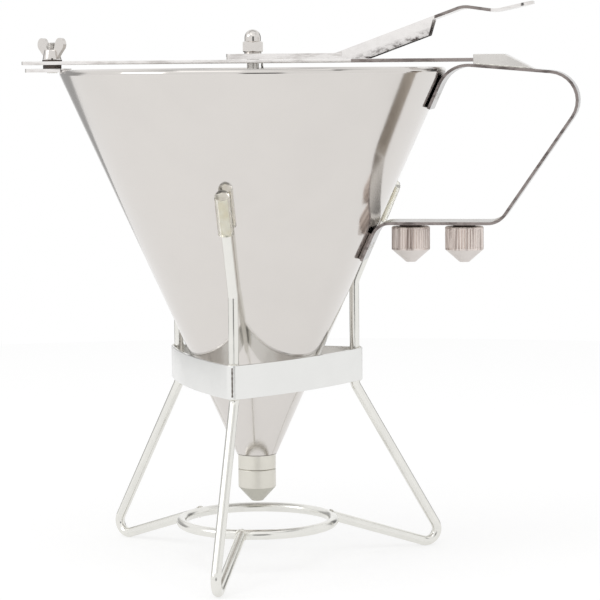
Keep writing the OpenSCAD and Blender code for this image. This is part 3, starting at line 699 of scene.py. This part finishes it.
@dataclass(frozen=True)
class Bead:
    """A lumpy bead of weld, solder or braze."""

    radius: float
    lumps: float
    closed: bool = False
    sides: int = 8
    rounded: bool = False

    def mesh(self, name: str, path: Sequence[Vector], seed: float) -> bpy.types.Mesh:
        """Sweeps the bead along a path.

        Args:
            name: The mesh's name.
            path: The bead's middle line.
            seed: Sets its lumps apart from another's.

        Returns:
            The mesh.
        """
        count = len(path)
        middle = (count - 1) / 2
        points: list[Vector] = []
        across = Vector((0, 0, 1))
        for i, here in enumerate(path):
            before = path[(i - 1) % count] if self.closed or i > 0 else here
            after = path[(i + 1) % count] if self.closed or i < count - 1 else here
            along = (after - before).normalized()
            across = across - along * across.dot(along)
            if across.length < 1e-6:
                across = along.orthogonal()
            across.normalize()
            up = along.cross(across)
            reach = self.radius * (1 + self.lumps * wobble(i, seed))
            if self.rounded:
                reach *= math.sqrt(max(0.08, 1 - ((i - middle) / (middle + 0.4)) ** 2))
            for k in range(self.sides):
                turn = 2 * math.pi * k / self.sides
                points.append(here + (across * math.cos(turn) + up * math.sin(turn)) * reach)
        return mesh_from(name, points, tube_faces(count, self.sides, self.closed))


FaceTest = Callable[[Vector, Vector], bool]


@dataclass(frozen=True)
class Region:
    """A finish for the faces that a test picks by their middle and their direction."""

    look: Steel | Vinyl
    picks: FaceTest


def faces_sideways(middle: Vector, way: Vector) -> bool:
    """Whether a face looks along Y, as a strip's cut edges do."""
    return abs(way.y) > 0.85


def below(height: float) -> FaceTest:
    """A test for the faces whose middle is under a height."""
    return lambda middle, way: middle.z < height


@dataclass
class Dresser:
    """Gives nodes of the frame their finishes, and softens the cut edges of the sheet pieces."""

    nodes: dict[str, bpy.types.Object]
    behaviour: dict[str, list[str]]
    ready: dict[str, bpy.types.Material] = field(default_factory=dict)
    merge: float = 2e-6
    flat_angle: float = 0.4
    rounding_steps: int = 2
    shading_weight: int = 80

    def finish(self, look: Steel | Vinyl) -> bpy.types.Material:
        """The material of a finish, made once.

        Args:
            look: The finish.

        Returns:
            Its material.
        """
        if look.name not in self.ready:
            self.ready[look.name] = look.material()
        return self.ready[look.name]

    def body_of(self, node: str) -> str:
        """The body that a node belongs to."""
        return next(body for body, members in self.behaviour.items() if node in members)

    def dress(self, node: str, look: Steel | Vinyl, *regions: Region) -> None:
        """Gives a node of the frame its finish as it stands.

        Args:
            node: The node.
            look: Its finish.
            regions: Parts of it that have a finish of their own.
        """
        self.coat(self.nodes[node].data, look, regions)
        LOG.info("dressed %s in %s", node, look.name)

    def coat(self, mesh: bpy.types.Mesh, look: Steel | Vinyl, regions: Sequence[Region]) -> None:
        """Gives a mesh its finish, and its regions theirs.

        Args:
            mesh: The mesh.
            look: Its main finish.
            regions: Its regions, the last one that picks a face winning.
        """
        mesh.materials.clear()
        mesh.materials.append(self.finish(look))
        for number, region in enumerate(regions, 1):
            mesh.materials.append(self.finish(region.look))
            for face in mesh.polygons:
                if region.picks(face.center, face.normal):
                    face.material_index = number

    def cleaned(self, node: str, lines: Sequence[float]) -> bpy.types.Mesh:
        """A smooth copy of a node's mesh, with its flat faces whole.

        Args:
            node: The node.
            lines: Places along X where the faces are divided.

        Returns:
            The copy.
        """
        mesh = self.nodes[node].data.copy()
        mesh.name = node + "_soft"
        work = bmesh.new()
        work.from_mesh(mesh)
        bmesh.ops.remove_doubles(work, verts=work.verts, dist=self.merge)
        bmesh.ops.dissolve_limit(
            work,
            angle_limit=math.radians(self.flat_angle),
            verts=work.verts,
            edges=work.edges,
            use_dissolve_boundaries=False,
        )
        for place in lines:
            bmesh.ops.bisect_plane(
                work,
                geom=[*work.verts, *work.edges, *work.faces],
                dist=1e-6,
                plane_co=(place, 0.0, 0.0),
                plane_no=(1.0, 0.0, 0.0),
            )
        for face in work.faces:
            face.smooth = True
        work.to_mesh(mesh)
        work.free()
        return mesh

    def soften(
        self,
        node: str,
        look: Steel | Vinyl,
        width: float,
        *regions: Region,
        angle: float = 30.0,
        lines: Sequence[float] = (),
    ) -> None:
        """Replaces a node by a copy of it with its sharp edges rounded.

        Args:
            node: The node.
            look: The copy's finish.
            width: How far the rounding reaches from each edge.
            regions: Parts of it that have a finish of their own.
            angle: Least angle of an edge that is rounded, in degrees.
            lines: Places along X where its faces are divided, so that a finish can change there.
        """
        piece = new_piece(node + "_soft", self.cleaned(node, lines))
        bevel = piece.modifiers.new("edges", "BEVEL")
        bevel.width = width
        bevel.segments = self.rounding_steps
        bevel.limit_method = "ANGLE"
        bevel.angle_limit = math.radians(angle)
        bevel.use_clamp_overlap = True
        bevel.miter_outer = "MITER_ARC"
        shading = piece.modifiers.new("shading", "WEIGHTED_NORMAL")
        shading.mode = "FACE_AREA"
        shading.weight = self.shading_weight
        self.settle(piece)
        self.carry(piece, self.body_of(node), look, node)
        self.coat(piece.data, look, regions)

    @staticmethod
    def settle(piece: bpy.types.Object) -> None:
        """Turns a piece's modifiers into its mesh.

        Args:
            piece: The piece.
        """
        bpy.context.view_layer.update()
        graph = bpy.context.evaluated_depsgraph_get()
        settled = bpy.data.meshes.new_from_object(piece.evaluated_get(graph))
        piece.modifiers.clear()
        piece.data = settled

    def carry(
        self, piece: bpy.types.Object, body: str, look: Steel | Vinyl, *replaced: str
    ) -> bpy.types.Object:
        """Finishes a new piece and lets it ride on a body.

        Args:
            piece: The piece.
            body: The body it rides on.
            look: Its finish.
            replaced: Nodes that it stands for.

        Returns:
            The piece.
        """
        piece.data.materials.clear()
        piece.data.materials.append(self.finish(look))
        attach(piece, body)
        if replaced:
            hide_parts(*replaced)
        LOG.info("added %s on %s in %s", piece.name, body, look.name)
        return piece

    def lay(
        self, name: str, bead: Bead, path: Sequence[Vector], seed: float, body: str, look: Steel
    ) -> None:
        """Lays a bead along a path.

        Args:
            name: The new piece's name.
            bead: The bead.
            path: Its middle line.
            seed: Sets its lumps apart from another's.
            body: The body it rides on.
            look: Its finish.
        """
        self.carry(new_piece(name, bead.mesh(name, path, seed)), body, look)


# ---- The object ----

SIDES = (("left", -1), ("right", 1))
FINE_ANGLE = 24.0


@dataclass
class WireStand:
    """The stand: three bent wires on a ring, the strap band round them, and their vinyl sleeves."""

    dresser: Dresser
    wire_radius: float = 0.0025
    ring_radius: float = 0.0385
    ring_height: float = 0.0195
    post_radius: float = 0.053
    band_edge: float = 0.0003
    leg_turns: tuple[float, float, float] = (-92.0, 28.0, 148.0)
    legs: tuple[str, str, str] = ("stand_leg_front", "stand_leg_right", "stand_leg_left")
    sleeves: tuple[str, str, str] = ("sleeve_front", "sleeve_right", "sleeve_left")
    ring_bead: Bead = Bead(0.00062, 0.22, closed=True, sides=10)
    ring_bead_steps: int = 22
    ring_bead_sink: float = 0.00075
    band_bead: Bead = Bead(0.0006, 0.25, sides=10, rounded=True)
    band_bead_steps: int = 12
    band_bead_reach: float = 75.0
    band_bead_off: float = 0.0004
    seam_bead: Bead = Bead(0.0004, 0.3)
    seam_steps: int = 18
    seam_margin: float = 0.0012
    seam_off: float = 0.0015

    def dress_wires(self) -> None:
        """Gives the legs and the ring their plated finish."""
        for node in (*self.legs, "stand_ring"):
            self.dresser.dress(node, PLATED_WIRE)

    def dress_sleeves(self) -> None:
        """Gives the sleeves their vinyl."""
        for node in self.sleeves:
            self.dresser.dress(node, AMBER_VINYL)

    def weld_ring(self) -> None:
        """Lays a bead round each leg where it meets the base ring."""
        for number, turn in enumerate(self.leg_turns):
            out = outward(turn)
            side = Vector((-out.y, out.x, 0.0))
            centre = out * (self.ring_radius + self.wire_radius * 0.78) + Vector((0, 0, self.ring_height))
            path = []
            for i in range(self.ring_bead_steps):
                around = 2 * math.pi * i / self.ring_bead_steps
                sideways, up = math.cos(around), math.sin(around)
                path.append(
                    centre
                    + side * sideways * self.wire_radius * 1.02
                    + Vector((0, 0, up * self.wire_radius))
                    - out * self.ring_bead_sink * up * up
                )
            self.dresser.lay(f"ring_weld_{number}", self.ring_bead, path, number * 1.3, "stand", WELD)

    def weld_band(self) -> None:
        """Lays a short bead over and under the band, where it holds each post."""
        low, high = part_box("stand_band")
        radius = self.wire_radius + self.band_bead_off
        for number, turn in enumerate(self.leg_turns):
            out = outward(turn)
            side = Vector((-out.y, out.x, 0.0))
            for where, height in (("low", low.z), ("high", high.z)):
                path = []
                for i in range(self.band_bead_steps + 1):
                    around = math.radians(self.band_bead_reach * (2 * i / self.band_bead_steps - 1))
                    path.append(
                        out * (self.post_radius + math.cos(around) * radius)
                        + side * math.sin(around) * radius
                        + Vector((0, 0, height))
                    )
                name = f"band_weld_{number}_{where}"
                self.dresser.lay(name, self.band_bead, path, number * 2.1, "stand", WELD)

    def join_band(self) -> None:
        """Runs the dark seam down the front corner, where the strap's two ends meet."""
        low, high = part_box("stand_band")
        reach = self.post_radius + self.wire_radius + self.seam_off
        foot = outward(self.leg_turns[0]) * reach + Vector((0, 0, low.z + self.seam_margin))
        rise = (high.z - low.z - 2 * self.seam_margin) / self.seam_steps
        path = [foot + Vector((0, 0, rise * i)) for i in range(self.seam_steps + 1)]
        self.dresser.lay("band_seam", self.seam_bead, path, 1.1, "stand", SEAM)

    def build(self) -> None:
        """Builds and dresses the whole stand."""
        self.dress_wires()
        self.dresser.soften("stand_band", BAND_STRIP, self.band_edge)
        self.dress_sleeves()
        self.weld_ring()
        self.weld_band()
        self.join_band()


@dataclass
class FunnelShell:
    """The cone with its rolled rim, the wire in the rim and the outlet collar."""

    dresser: Dresser
    bead_start: float = 0.2416
    # The dark bead of painted shadow at the collar's top.
    collar_shadow_bead: Bead = Bead(0.00042, 0.08, closed=True)
    collar_shadow_radius: float = 0.0097
    collar_shadow_steps: int = 60

    def faces_axis(self, middle: Vector, way: Vector) -> bool:
        """Whether a face is on the cone's inside, below the rolled rim."""
        return middle.z < self.bead_start and middle.x * way.x + middle.y * way.y < 0

    def paint_collar_shadow(self) -> None:
        """Lays a dark bead where the collar meets the cone's small end, as painted shadow in the step between
        them.
        """
        low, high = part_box("funnel_cone")
        path = ring_path(Vector((0.0, 0.0, low.z)), self.collar_shadow_radius, self.collar_shadow_steps)
        self.dresser.lay("collar_shadow_line", self.collar_shadow_bead, path, 2.0, "funnel", COLLAR_SHADOW)

    def build(self) -> None:
        """Dresses the shell."""
        self.dresser.dress("funnel_cone", POLISHED_CONE, Region(CONE_INSIDE, self.faces_axis))
        self.dresser.dress("rim_wire", SHAFT)
        self.dresser.dress("outlet_collar", TURNED)
        self.paint_collar_shadow()


@dataclass
class StrapHandle:
    """The handle strip with its two welded tabs, the keeper hood and the stubs for the spare nozzles."""

    dresser: Dresser
    cone_lean: float = 24.194
    foot_radius: float = 0.0102
    foot_height: float = 0.0542
    strip: float = 0.0015
    strip_edge: float = 0.00014
    hood_edge: float = 0.00028
    half_width: float = 0.0125
    grip_from: float = 0.1
    run_under: float = 0.18
    mark_radius: float = 0.0019
    mark_spread: float = 0.0068
    mark_outline: tuple[tuple[float, float], ...] = (
        (0.0, 0.00002),
        (0.55, 0.00003),
        (0.82, 0.00013),
        (0.95, 0.00011),
        (1.0, -0.00006),
        (0.0, -0.00006),
    )
    marks: tuple[tuple[str, float], ...] = (("low", 0.1594), ("high", 0.2335))
    solder: tuple[float, float] = (0.1533, 0.1658)
    solder_bead: Bead = Bead(0.0007, 0.12)
    solder_steps: int = 24
    solder_sink: float = 0.0005
    solder_inset: float = 0.0006
    hood_bead: Bead = Bead(0.00042, 0.2)
    hood_bead_steps: int = 26
    hood_slope: float = 5.0

    def tab_face(self, height: float) -> tuple[Vector, Vector]:
        """A point in the middle of a tab's outer face, and that face's direction.

        Args:
            height: The height over the floor.

        Returns:
            The point and the direction.
        """
        lean = math.radians(self.cone_lean)
        wall = self.foot_radius + (height - self.foot_height) * math.tan(lean)
        out = Vector((math.cos(lean), 0.0, -math.sin(lean)))
        return Vector((wall, 0.0, height)) + out * self.strip, out

    def in_grip(self, middle: Vector, way: Vector) -> bool:
        """Whether a face is on the grip's inside, which is brushed and coloured darker and warmer as painted
        shade.
        """
        return way.x < -0.3 and middle.x > self.grip_from

    def on_lower_run(self, middle: Vector, way: Vector) -> bool:
        """Whether a face is the lower run's top or underside."""
        return abs(way.z) > 0.8 and middle.z < self.run_under

    def spot_marks(self) -> None:
        """Presses two shallow weld marks into each tab."""
        outline = [(self.mark_radius * share, height) for share, height in self.mark_outline]
        for name, height in self.marks:
            centre, out = self.tab_face(height)
            for label, side in SIDES:
                mark = f"tab_mark_{name}_{label}"
                mesh = turned_mesh(mark, outline)
                mesh.transform(
                    Matrix.Translation(centre + Vector((0, side * self.mark_spread, 0)))
                    @ out.to_track_quat("Z", "Y").to_matrix().to_4x4()
                )
                self.dresser.carry(new_piece(mark, mesh), "funnel", STRIP_WELD)

    def solder_tab(self) -> None:
        """Runs solder into the gap along both sides of the lower tab, where the round cone falls away."""
        start, end = self.solder
        for label, side in SIDES:
            path = []
            for i in range(self.solder_steps + 1):
                centre, out = self.tab_face(start + (end - start) * i / self.solder_steps)
                sideways = Vector((0, side * (self.half_width - self.solder_inset), 0))
                path.append(centre - out * (self.strip + self.solder_sink) + sideways)
            self.dresser.lay(
                f"tab_solder_{label}", self.solder_bead, path, side * 1.9, "funnel", DARK_SOLDER
            )

    def weld_hood(self) -> None:
        """Lays a thin bead along both lower edges of the keeper hood."""
        low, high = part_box("keeper_hood")
        for label, side in SIDES:
            path = []
            for i in range(self.hood_bead_steps + 1):
                x = low.x + 0.0012 + (high.x - low.x - 0.0048) * i / self.hood_bead_steps
                z = low.z + math.tan(math.radians(self.hood_slope)) * (high.x - x) + 0.0003
                path.append(Vector((x, side * (high.y - 0.0002), z)))
            self.dresser.lay(f"hood_weld_{label}", self.hood_bead, path, side * 0.9, "funnel", STRIP_WELD)

    def build(self) -> None:
        """Builds and dresses the handle."""
        self.dresser.soften(
            "handle",
            HANDLE_STRIP,
            self.strip_edge,
            Region(HANDLE_RUN, self.on_lower_run),
            Region(HANDLE_INSIDE_SHADE, self.in_grip),
            Region(CUT_EDGE, faces_sideways),
        )
        self.dresser.soften("keeper_hood", POLISHED_STRIP, self.hood_edge)
        # The stubs are coloured dark as painted shadow in the gap under the strip.
        for node in ("spare_stub_a", "spare_stub_b"):
            self.dresser.dress(node, STUB_SHADOW)
        self.spot_marks()
        self.solder_tab()
        self.weld_hood()


@dataclass
class BridgeClamp:
    """The bar across the rim with its tab, threaded stud, washer, spacer nut and wing nut."""

    dresser: Dresser
    sheet_edge: float = 0.00022
    washer_edge: float = 0.00018
    wing_edge: float = 0.00045
    dull_from: float = 0.0505
    pitch: float = 0.0008
    thread_depth: float = 0.00038
    rows_per_turn: int = 8
    steps: int = 36
    end_length: float = 0.0006
    end_depth: float = 0.0003
    stud_bead: Bead = Bead(0.0005, 0.2, closed=True)
    stud_bead_steps: int = 20

    def dull_edge(self, middle: Vector, way: Vector) -> bool:
        """Whether a face is a cut edge in the bar's duller half, by the handle."""
        return faces_sideways(middle, way) and middle.x > self.dull_from

    def cut_thread(self) -> None:
        """Replaces the stud by one with its thread cut in it."""
        low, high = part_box("clamp_stud")
        radius = (high.x - low.x) / 2
        centre = (low + high) / 2
        rows = int((high.z - low.z) / self.pitch * self.rows_per_turn)
        points: list[Point] = []
        for row in range(rows + 1):
            z = low.z + (high.z - low.z) * row / rows
            end = min(1.0, max(0.0, (high.z - z) / self.end_length))
            for k in range(self.steps):
                turn = 2 * math.pi * k / self.steps
                phase = (z / self.pitch - k / self.steps) % 1.0
                cut = self.thread_depth * (1 - abs(2 * phase - 1)) + (1 - end) * self.end_depth
                reach = radius - min(cut, radius * 0.5)
                points.append((centre.x + reach * math.cos(turn), centre.y + reach * math.sin(turn), z))
        mesh = mesh_from("threaded_stud", points, tube_faces(rows + 1, self.steps, False))
        self.dresser.carry(new_piece("threaded_stud", mesh), "funnel", SHAFT, "clamp_stud")

    def weld_stud(self) -> None:
        """Lays a bead round the stud's foot, under the tab."""
        low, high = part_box("clamp_stud")
        centre = (low + high) / 2
        centre.z = low.z + 0.0001
        path = ring_path(centre, (high.x - low.x) / 2 * 0.9, self.stud_bead_steps)
        self.dresser.lay("stud_weld", self.stud_bead, path, 0.4, "funnel", STRIP_WELD)

    def build(self) -> None:
        """Builds and dresses the bridge and its clamp."""
        bright = Region(BRIGHT_EDGE, faces_sideways)
        dull = Region(BAR_EDGE, self.dull_edge)
        self.dresser.soften(
            "bridge_bar", POLISHED_STRIP, self.sheet_edge, bright, dull, lines=(self.dull_from,)
        )
        self.dresser.soften("rim_tab", POLISHED_STRIP, self.sheet_edge, bright)
        # The spacer nut and washer are coloured dark as painted shade.
        self.dresser.soften("spacer_nut", FIXING_SHADE, self.sheet_edge)
        self.dresser.soften("clamp_washer", FIXING_SHADE, self.washer_edge)
        self.dresser.soften("wing_nut", POLISHED_NUT, self.wing_edge, angle=FINE_ANGLE)
        self.cut_thread()
        self.weld_stud()


@dataclass
class ThumbLever:
    """The formed lever that the thumb presses."""

    dresser: Dresser
    sheet_edge: float = 0.0003
    rise_start: float = 0.046
    sides_end: float = 0.0915
    plate_dip: float = 0.119

    def on_side(self, middle: Vector, way: Vector) -> bool:
        """Whether a face is on a turned-down side of the rising part."""
        return faces_sideways(middle, way) and self.rise_start < middle.x < self.sides_end

    def on_plate_edge(self, middle: Vector, way: Vector) -> bool:
        """Whether a face is a cut edge: of the thumb plate, or at the sides' ends."""
        return (faces_sideways(middle, way) and middle.x > self.sides_end) or (
            way.x > 0.7 and self.rise_start < middle.x < self.sides_end + 0.004
        )

    def on_bright_edge(self, middle: Vector, way: Vector) -> bool:
        """Whether a face is a cut edge coloured light: of the plate's outer part, or of the end on the rod.
        """
        return faces_sideways(middle, way) and not self.rise_start <= middle.x <= self.plate_dip

    def build(self) -> None:
        """Dresses the lever."""
        self.dresser.soften(
            "thumb_lever",
            LEVER_SHEET,
            self.sheet_edge,
            Region(LEVER_SIDE, self.on_side),
            Region(CUT_EDGE, self.on_plate_edge),
            Region(BRIGHT_EDGE, self.on_bright_edge),
            lines=(self.rise_start, self.sides_end, self.plate_dip),
        )


@dataclass
class ValveGear:
    """The rod with its dome nut, collar and plug, and the spring that closes it."""

    dresser: Dresser
    nut_edge: float = 0.00022
    collar_edge: float = 0.00025
    plug_edge: float = 0.0002
    spring_top: float = 0.25
    spring_length: float = 0.044
    stroke: float = 0.01336

    def wind_spring(self) -> None:
        """Puts in a copy of the spring's coil in place of the spring, riding on the funnel."""
        mesh = self.dresser.nodes["closing_spring"].data.copy()
        mesh.name = "spring_coil"
        coil = self.dresser.carry(
            new_piece("spring_coil", mesh), "funnel", SPRING_WIRE, "closing_spring"
        )
        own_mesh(coil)

    def build(self) -> None:
        """Dresses the valve."""
        self.dresser.dress("valve_rod", SHAFT)
        self.dresser.soften("cap_nut", POLISHED_NUT, self.nut_edge, angle=FINE_ANGLE)
        self.dresser.soften("rod_collar", SHAFT, self.collar_edge)
        self.wind_spring()
        self.dresser.soften("valve_plug", TURNED, self.plug_edge)


@dataclass
class Nozzles:
    """The fitted nozzle and the two spare ones under the handle."""

    dresser: Dresser
    fitted_edge: float = 0.00018
    fitted_taper: float = 0.0372
    spare_nose: float = 0.0062

    def build(self) -> None:
        """Dresses the nozzles."""
        tip = Region(TAPER_SATIN, below(self.fitted_taper))
        self.dresser.soften("fitted_nozzle", SERRATED, self.fitted_edge, tip, angle=FINE_ANGLE)
        for node in ("spare_nozzle_a", "spare_nozzle_b"):
            low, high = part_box(node)
            self.dresser.dress(node, KNURLED, Region(KNURLED_TAPER, below(low.z + self.spare_nose)))


# ---- The studio ----

WHITE: Colour = (1.0, 1.0, 1.0)


@dataclass(frozen=True)
class DarkPatch:
    """A dark part of the room that bright metal mirrors, as a stretch of compass and of height."""

    turn: float
    half_width: float
    low: float
    high: float
    soft: float
    depth: float


@dataclass(frozen=True)
class Lamp:
    """A round soft lamp."""

    name: str
    place: Point
    size: float
    power: float


@dataclass
class Studio:
    """A pale floor, soft light all round with a few dark patches to mirror, and the camera."""

    patches: tuple[DarkPatch, ...] = (
        DarkPatch(turn=-75.0, half_width=12.0, low=-0.25, high=0.3, soft=0.02, depth=0.9),
        DarkPatch(turn=-50.0, half_width=40.0, low=0.66, high=0.86, soft=0.05, depth=0.8),
        DarkPatch(turn=60.0, half_width=14.0, low=-0.1, high=0.4, soft=0.05, depth=0.8),
        DarkPatch(turn=136.0, half_width=24.0, low=-0.5, high=0.35, soft=0.08, depth=0.6),
    )
    ceiling: float = 0.6
    ceiling_from: float = 0.7
    dark: Colour = (0.03, 0.028, 0.026)
    fill: Colour = (0.72, 0.72, 0.72)
    floor_reach: float = 1.0
    floor_steps: int = 96
    floor_tones: tuple[Colour, Colour] = ((0.46, 0.46, 0.46), (0.48, 0.48, 0.48))
    floor_glow: float = 0.6
    lamps: tuple[Lamp, ...] = (
        Lamp("lamp_over", (0.1, -0.5, 1.4), size=1.8, power=5.0),
        Lamp("lamp_left", (-1.2, -0.7, 0.9), size=0.8, power=3.0),
    )
    lamp_aim: Point = (0.0, 0.0, 0.13)
    lens: float = 149.4
    sensor: float = 36.0
    distance: float = 1.245
    height: float = 0.2517
    turn: float = 9.7
    pitch: float = 0.0963
    yaw: float = 0.018
    roll: float = 0.0085

    @staticmethod
    def shadow(patch: DarkPatch, graph: Graph, level: Tap, height: Tap) -> Tap:
        """How dark a patch makes one direction of the room.

        Args:
            patch: The patch.
            graph: The world's tree.
            level: The direction, laid level.
            height: The direction's height, -1 to 1.

        Returns:
            The darkness, 0 to 1.
        """
        facing = tuple(outward(patch.turn))
        along = graph.add(
            "ShaderNodeVectorMath", {"operation": "DOT_PRODUCT"}, {0: level, 1: facing}, "Value"
        )
        edge = math.cos(math.radians(patch.half_width))
        mask = along.step(edge - patch.soft * 0.5, edge + patch.soft * 0.5)
        mask = mask * height.step(patch.low - patch.soft, patch.low + patch.soft)
        mask = mask * (1.0 - height.step(patch.high - patch.soft, patch.high + patch.soft))
        return mask * patch.depth

    def light_room(self) -> None:
        """Sets up the world: white to the eye, soft on pale things, patched in mirrors."""
        world = bpy.data.worlds.new("room")
        bpy.context.scene.world = world
        graph = Graph(world)
        way = graph.add("ShaderNodeTexCoord", output="Generated")
        height = graph.add("ShaderNodeSeparateXYZ", {}, {0: way}, "Z")
        flat = graph.stretched(way, (1.0, 1.0, 0.0))
        level = graph.add("ShaderNodeVectorMath", {"operation": "NORMALIZE"}, {0: flat})
        dark = height.step(self.ceiling_from, 1.0) * self.ceiling
        for patch in self.patches:
            dark = dark.most(self.shadow(patch, graph, level, height))
        room = graph.mixed(dark, WHITE, self.dark)
        plain = graph.mixed(graph.ray("Glossy", "Transmission"), self.fill, room)
        colour = graph.mixed(graph.ray("Camera"), plain, WHITE)
        back = graph.add("ShaderNodeBackground", {}, {"Color": colour, "Strength": 1.0})
        graph.node("ShaderNodeOutputWorld", {}, {"Surface": back})

    def lay_floor(self) -> None:
        """Lays a round pale floor that keeps the object's shadow."""
        rim = ring_path(Vector((0.0, 0.0, 0.0)), self.floor_reach, self.floor_steps)
        faces = [(0, 1 + k, 1 + (k + 1) % self.floor_steps) for k in range(self.floor_steps)]
        floor = new_piece("floor", mesh_from("floor", [(0.0, 0.0, 0.0), *rim], faces))
        paint = bpy.data.materials.new("floor_paint")
        graph = Graph(paint)
        speck = graph.noise(graph.place(), 300.0, 2.0)
        matt = graph.add("ShaderNodeBsdfDiffuse", {}, {"Color": graph.mixed(speck, *self.floor_tones)})
        seen = graph.ray("Camera", "Glossy", "Transmission")
        glow = graph.add(
            "ShaderNodeEmission", {}, {"Color": (*WHITE, 1.0), "Strength": seen * self.floor_glow}
        )
        both = graph.add("ShaderNodeAddShader", {}, {0: matt, 1: glow})
        graph.node("ShaderNodeOutputMaterial", {}, {"Surface": both})
        floor.data.materials.append(paint)

    def hang_lamps(self) -> None:
        """Hangs one broad soft lamp over the object and a weaker one to the left."""
        for lamp in self.lamps:
            light = bpy.data.lights.new(lamp.name, "AREA")
            light.shape = "DISK"
            light.size = lamp.size
            light.energy = lamp.power
            hung = bpy.data.objects.new(lamp.name, light)
            bpy.context.scene.collection.objects.link(hung)
            hung.location = lamp.place
            aim = Vector(self.lamp_aim) - Vector(lamp.place)
            hung.rotation_euler = aim.to_track_quat("-Z", "Y").to_euler()

    def set_camera(self) -> None:
        """Stands the camera where the photograph was taken from."""
        turn = math.radians(self.turn)
        back = Vector((math.sin(turn), -math.cos(turn), 0.0))
        right = Vector((math.cos(turn), math.sin(turn), 0.0))
        ahead = -back * math.cos(self.yaw) + right * math.sin(self.yaw)
        right = right * math.cos(self.yaw) + back * math.sin(self.yaw)
        ahead = ahead * math.cos(self.pitch) + Vector((0, 0, -math.sin(self.pitch)))
        up = right.cross(ahead)
        tilted_right = right * math.cos(self.roll) - up * math.sin(self.roll)
        tilted_up = up * math.cos(self.roll) + right * math.sin(self.roll)
        data = bpy.data.cameras.new("camera")
        data.lens = self.lens
        data.sensor_width = self.sensor
        data.clip_end = 20.0
        camera = bpy.data.objects.new("camera", data)
        bpy.context.scene.collection.objects.link(camera)
        basis = Matrix((tilted_right, tilted_up, -ahead)).transposed().to_4x4()
        place = back * self.distance + Vector((0, 0, self.height))
        camera.matrix_world = Matrix.Translation(place) @ basis
        bpy.context.scene.camera = camera

    def build(self) -> None:
        """Sets up the whole studio."""
        self.light_room()
        self.lay_floor()
        self.hang_lamps()
        self.set_camera()
        bpy.context.scene.view_settings.view_transform = "Standard"
        LOG.info("studio ready")


def main() -> None:
    """Builds every sub-assembly in order."""
    logging.basicConfig(level=logging.INFO, format="%(message)s")
    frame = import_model()
    dresser = Dresser(frame["nodes"], frame["record"]["behaviour"]["bodies"])
    for part in (
        WireStand(dresser),
        FunnelShell(dresser),
        StrapHandle(dresser),
        BridgeClamp(dresser),
        ThumbLever(dresser),
        ValveGear(dresser),
        Nozzles(dresser),
    ):
        part.build()
        LOG.info("built %s", type(part).__name__)
    Studio().build()


if __name__ == "__main__":
    main()
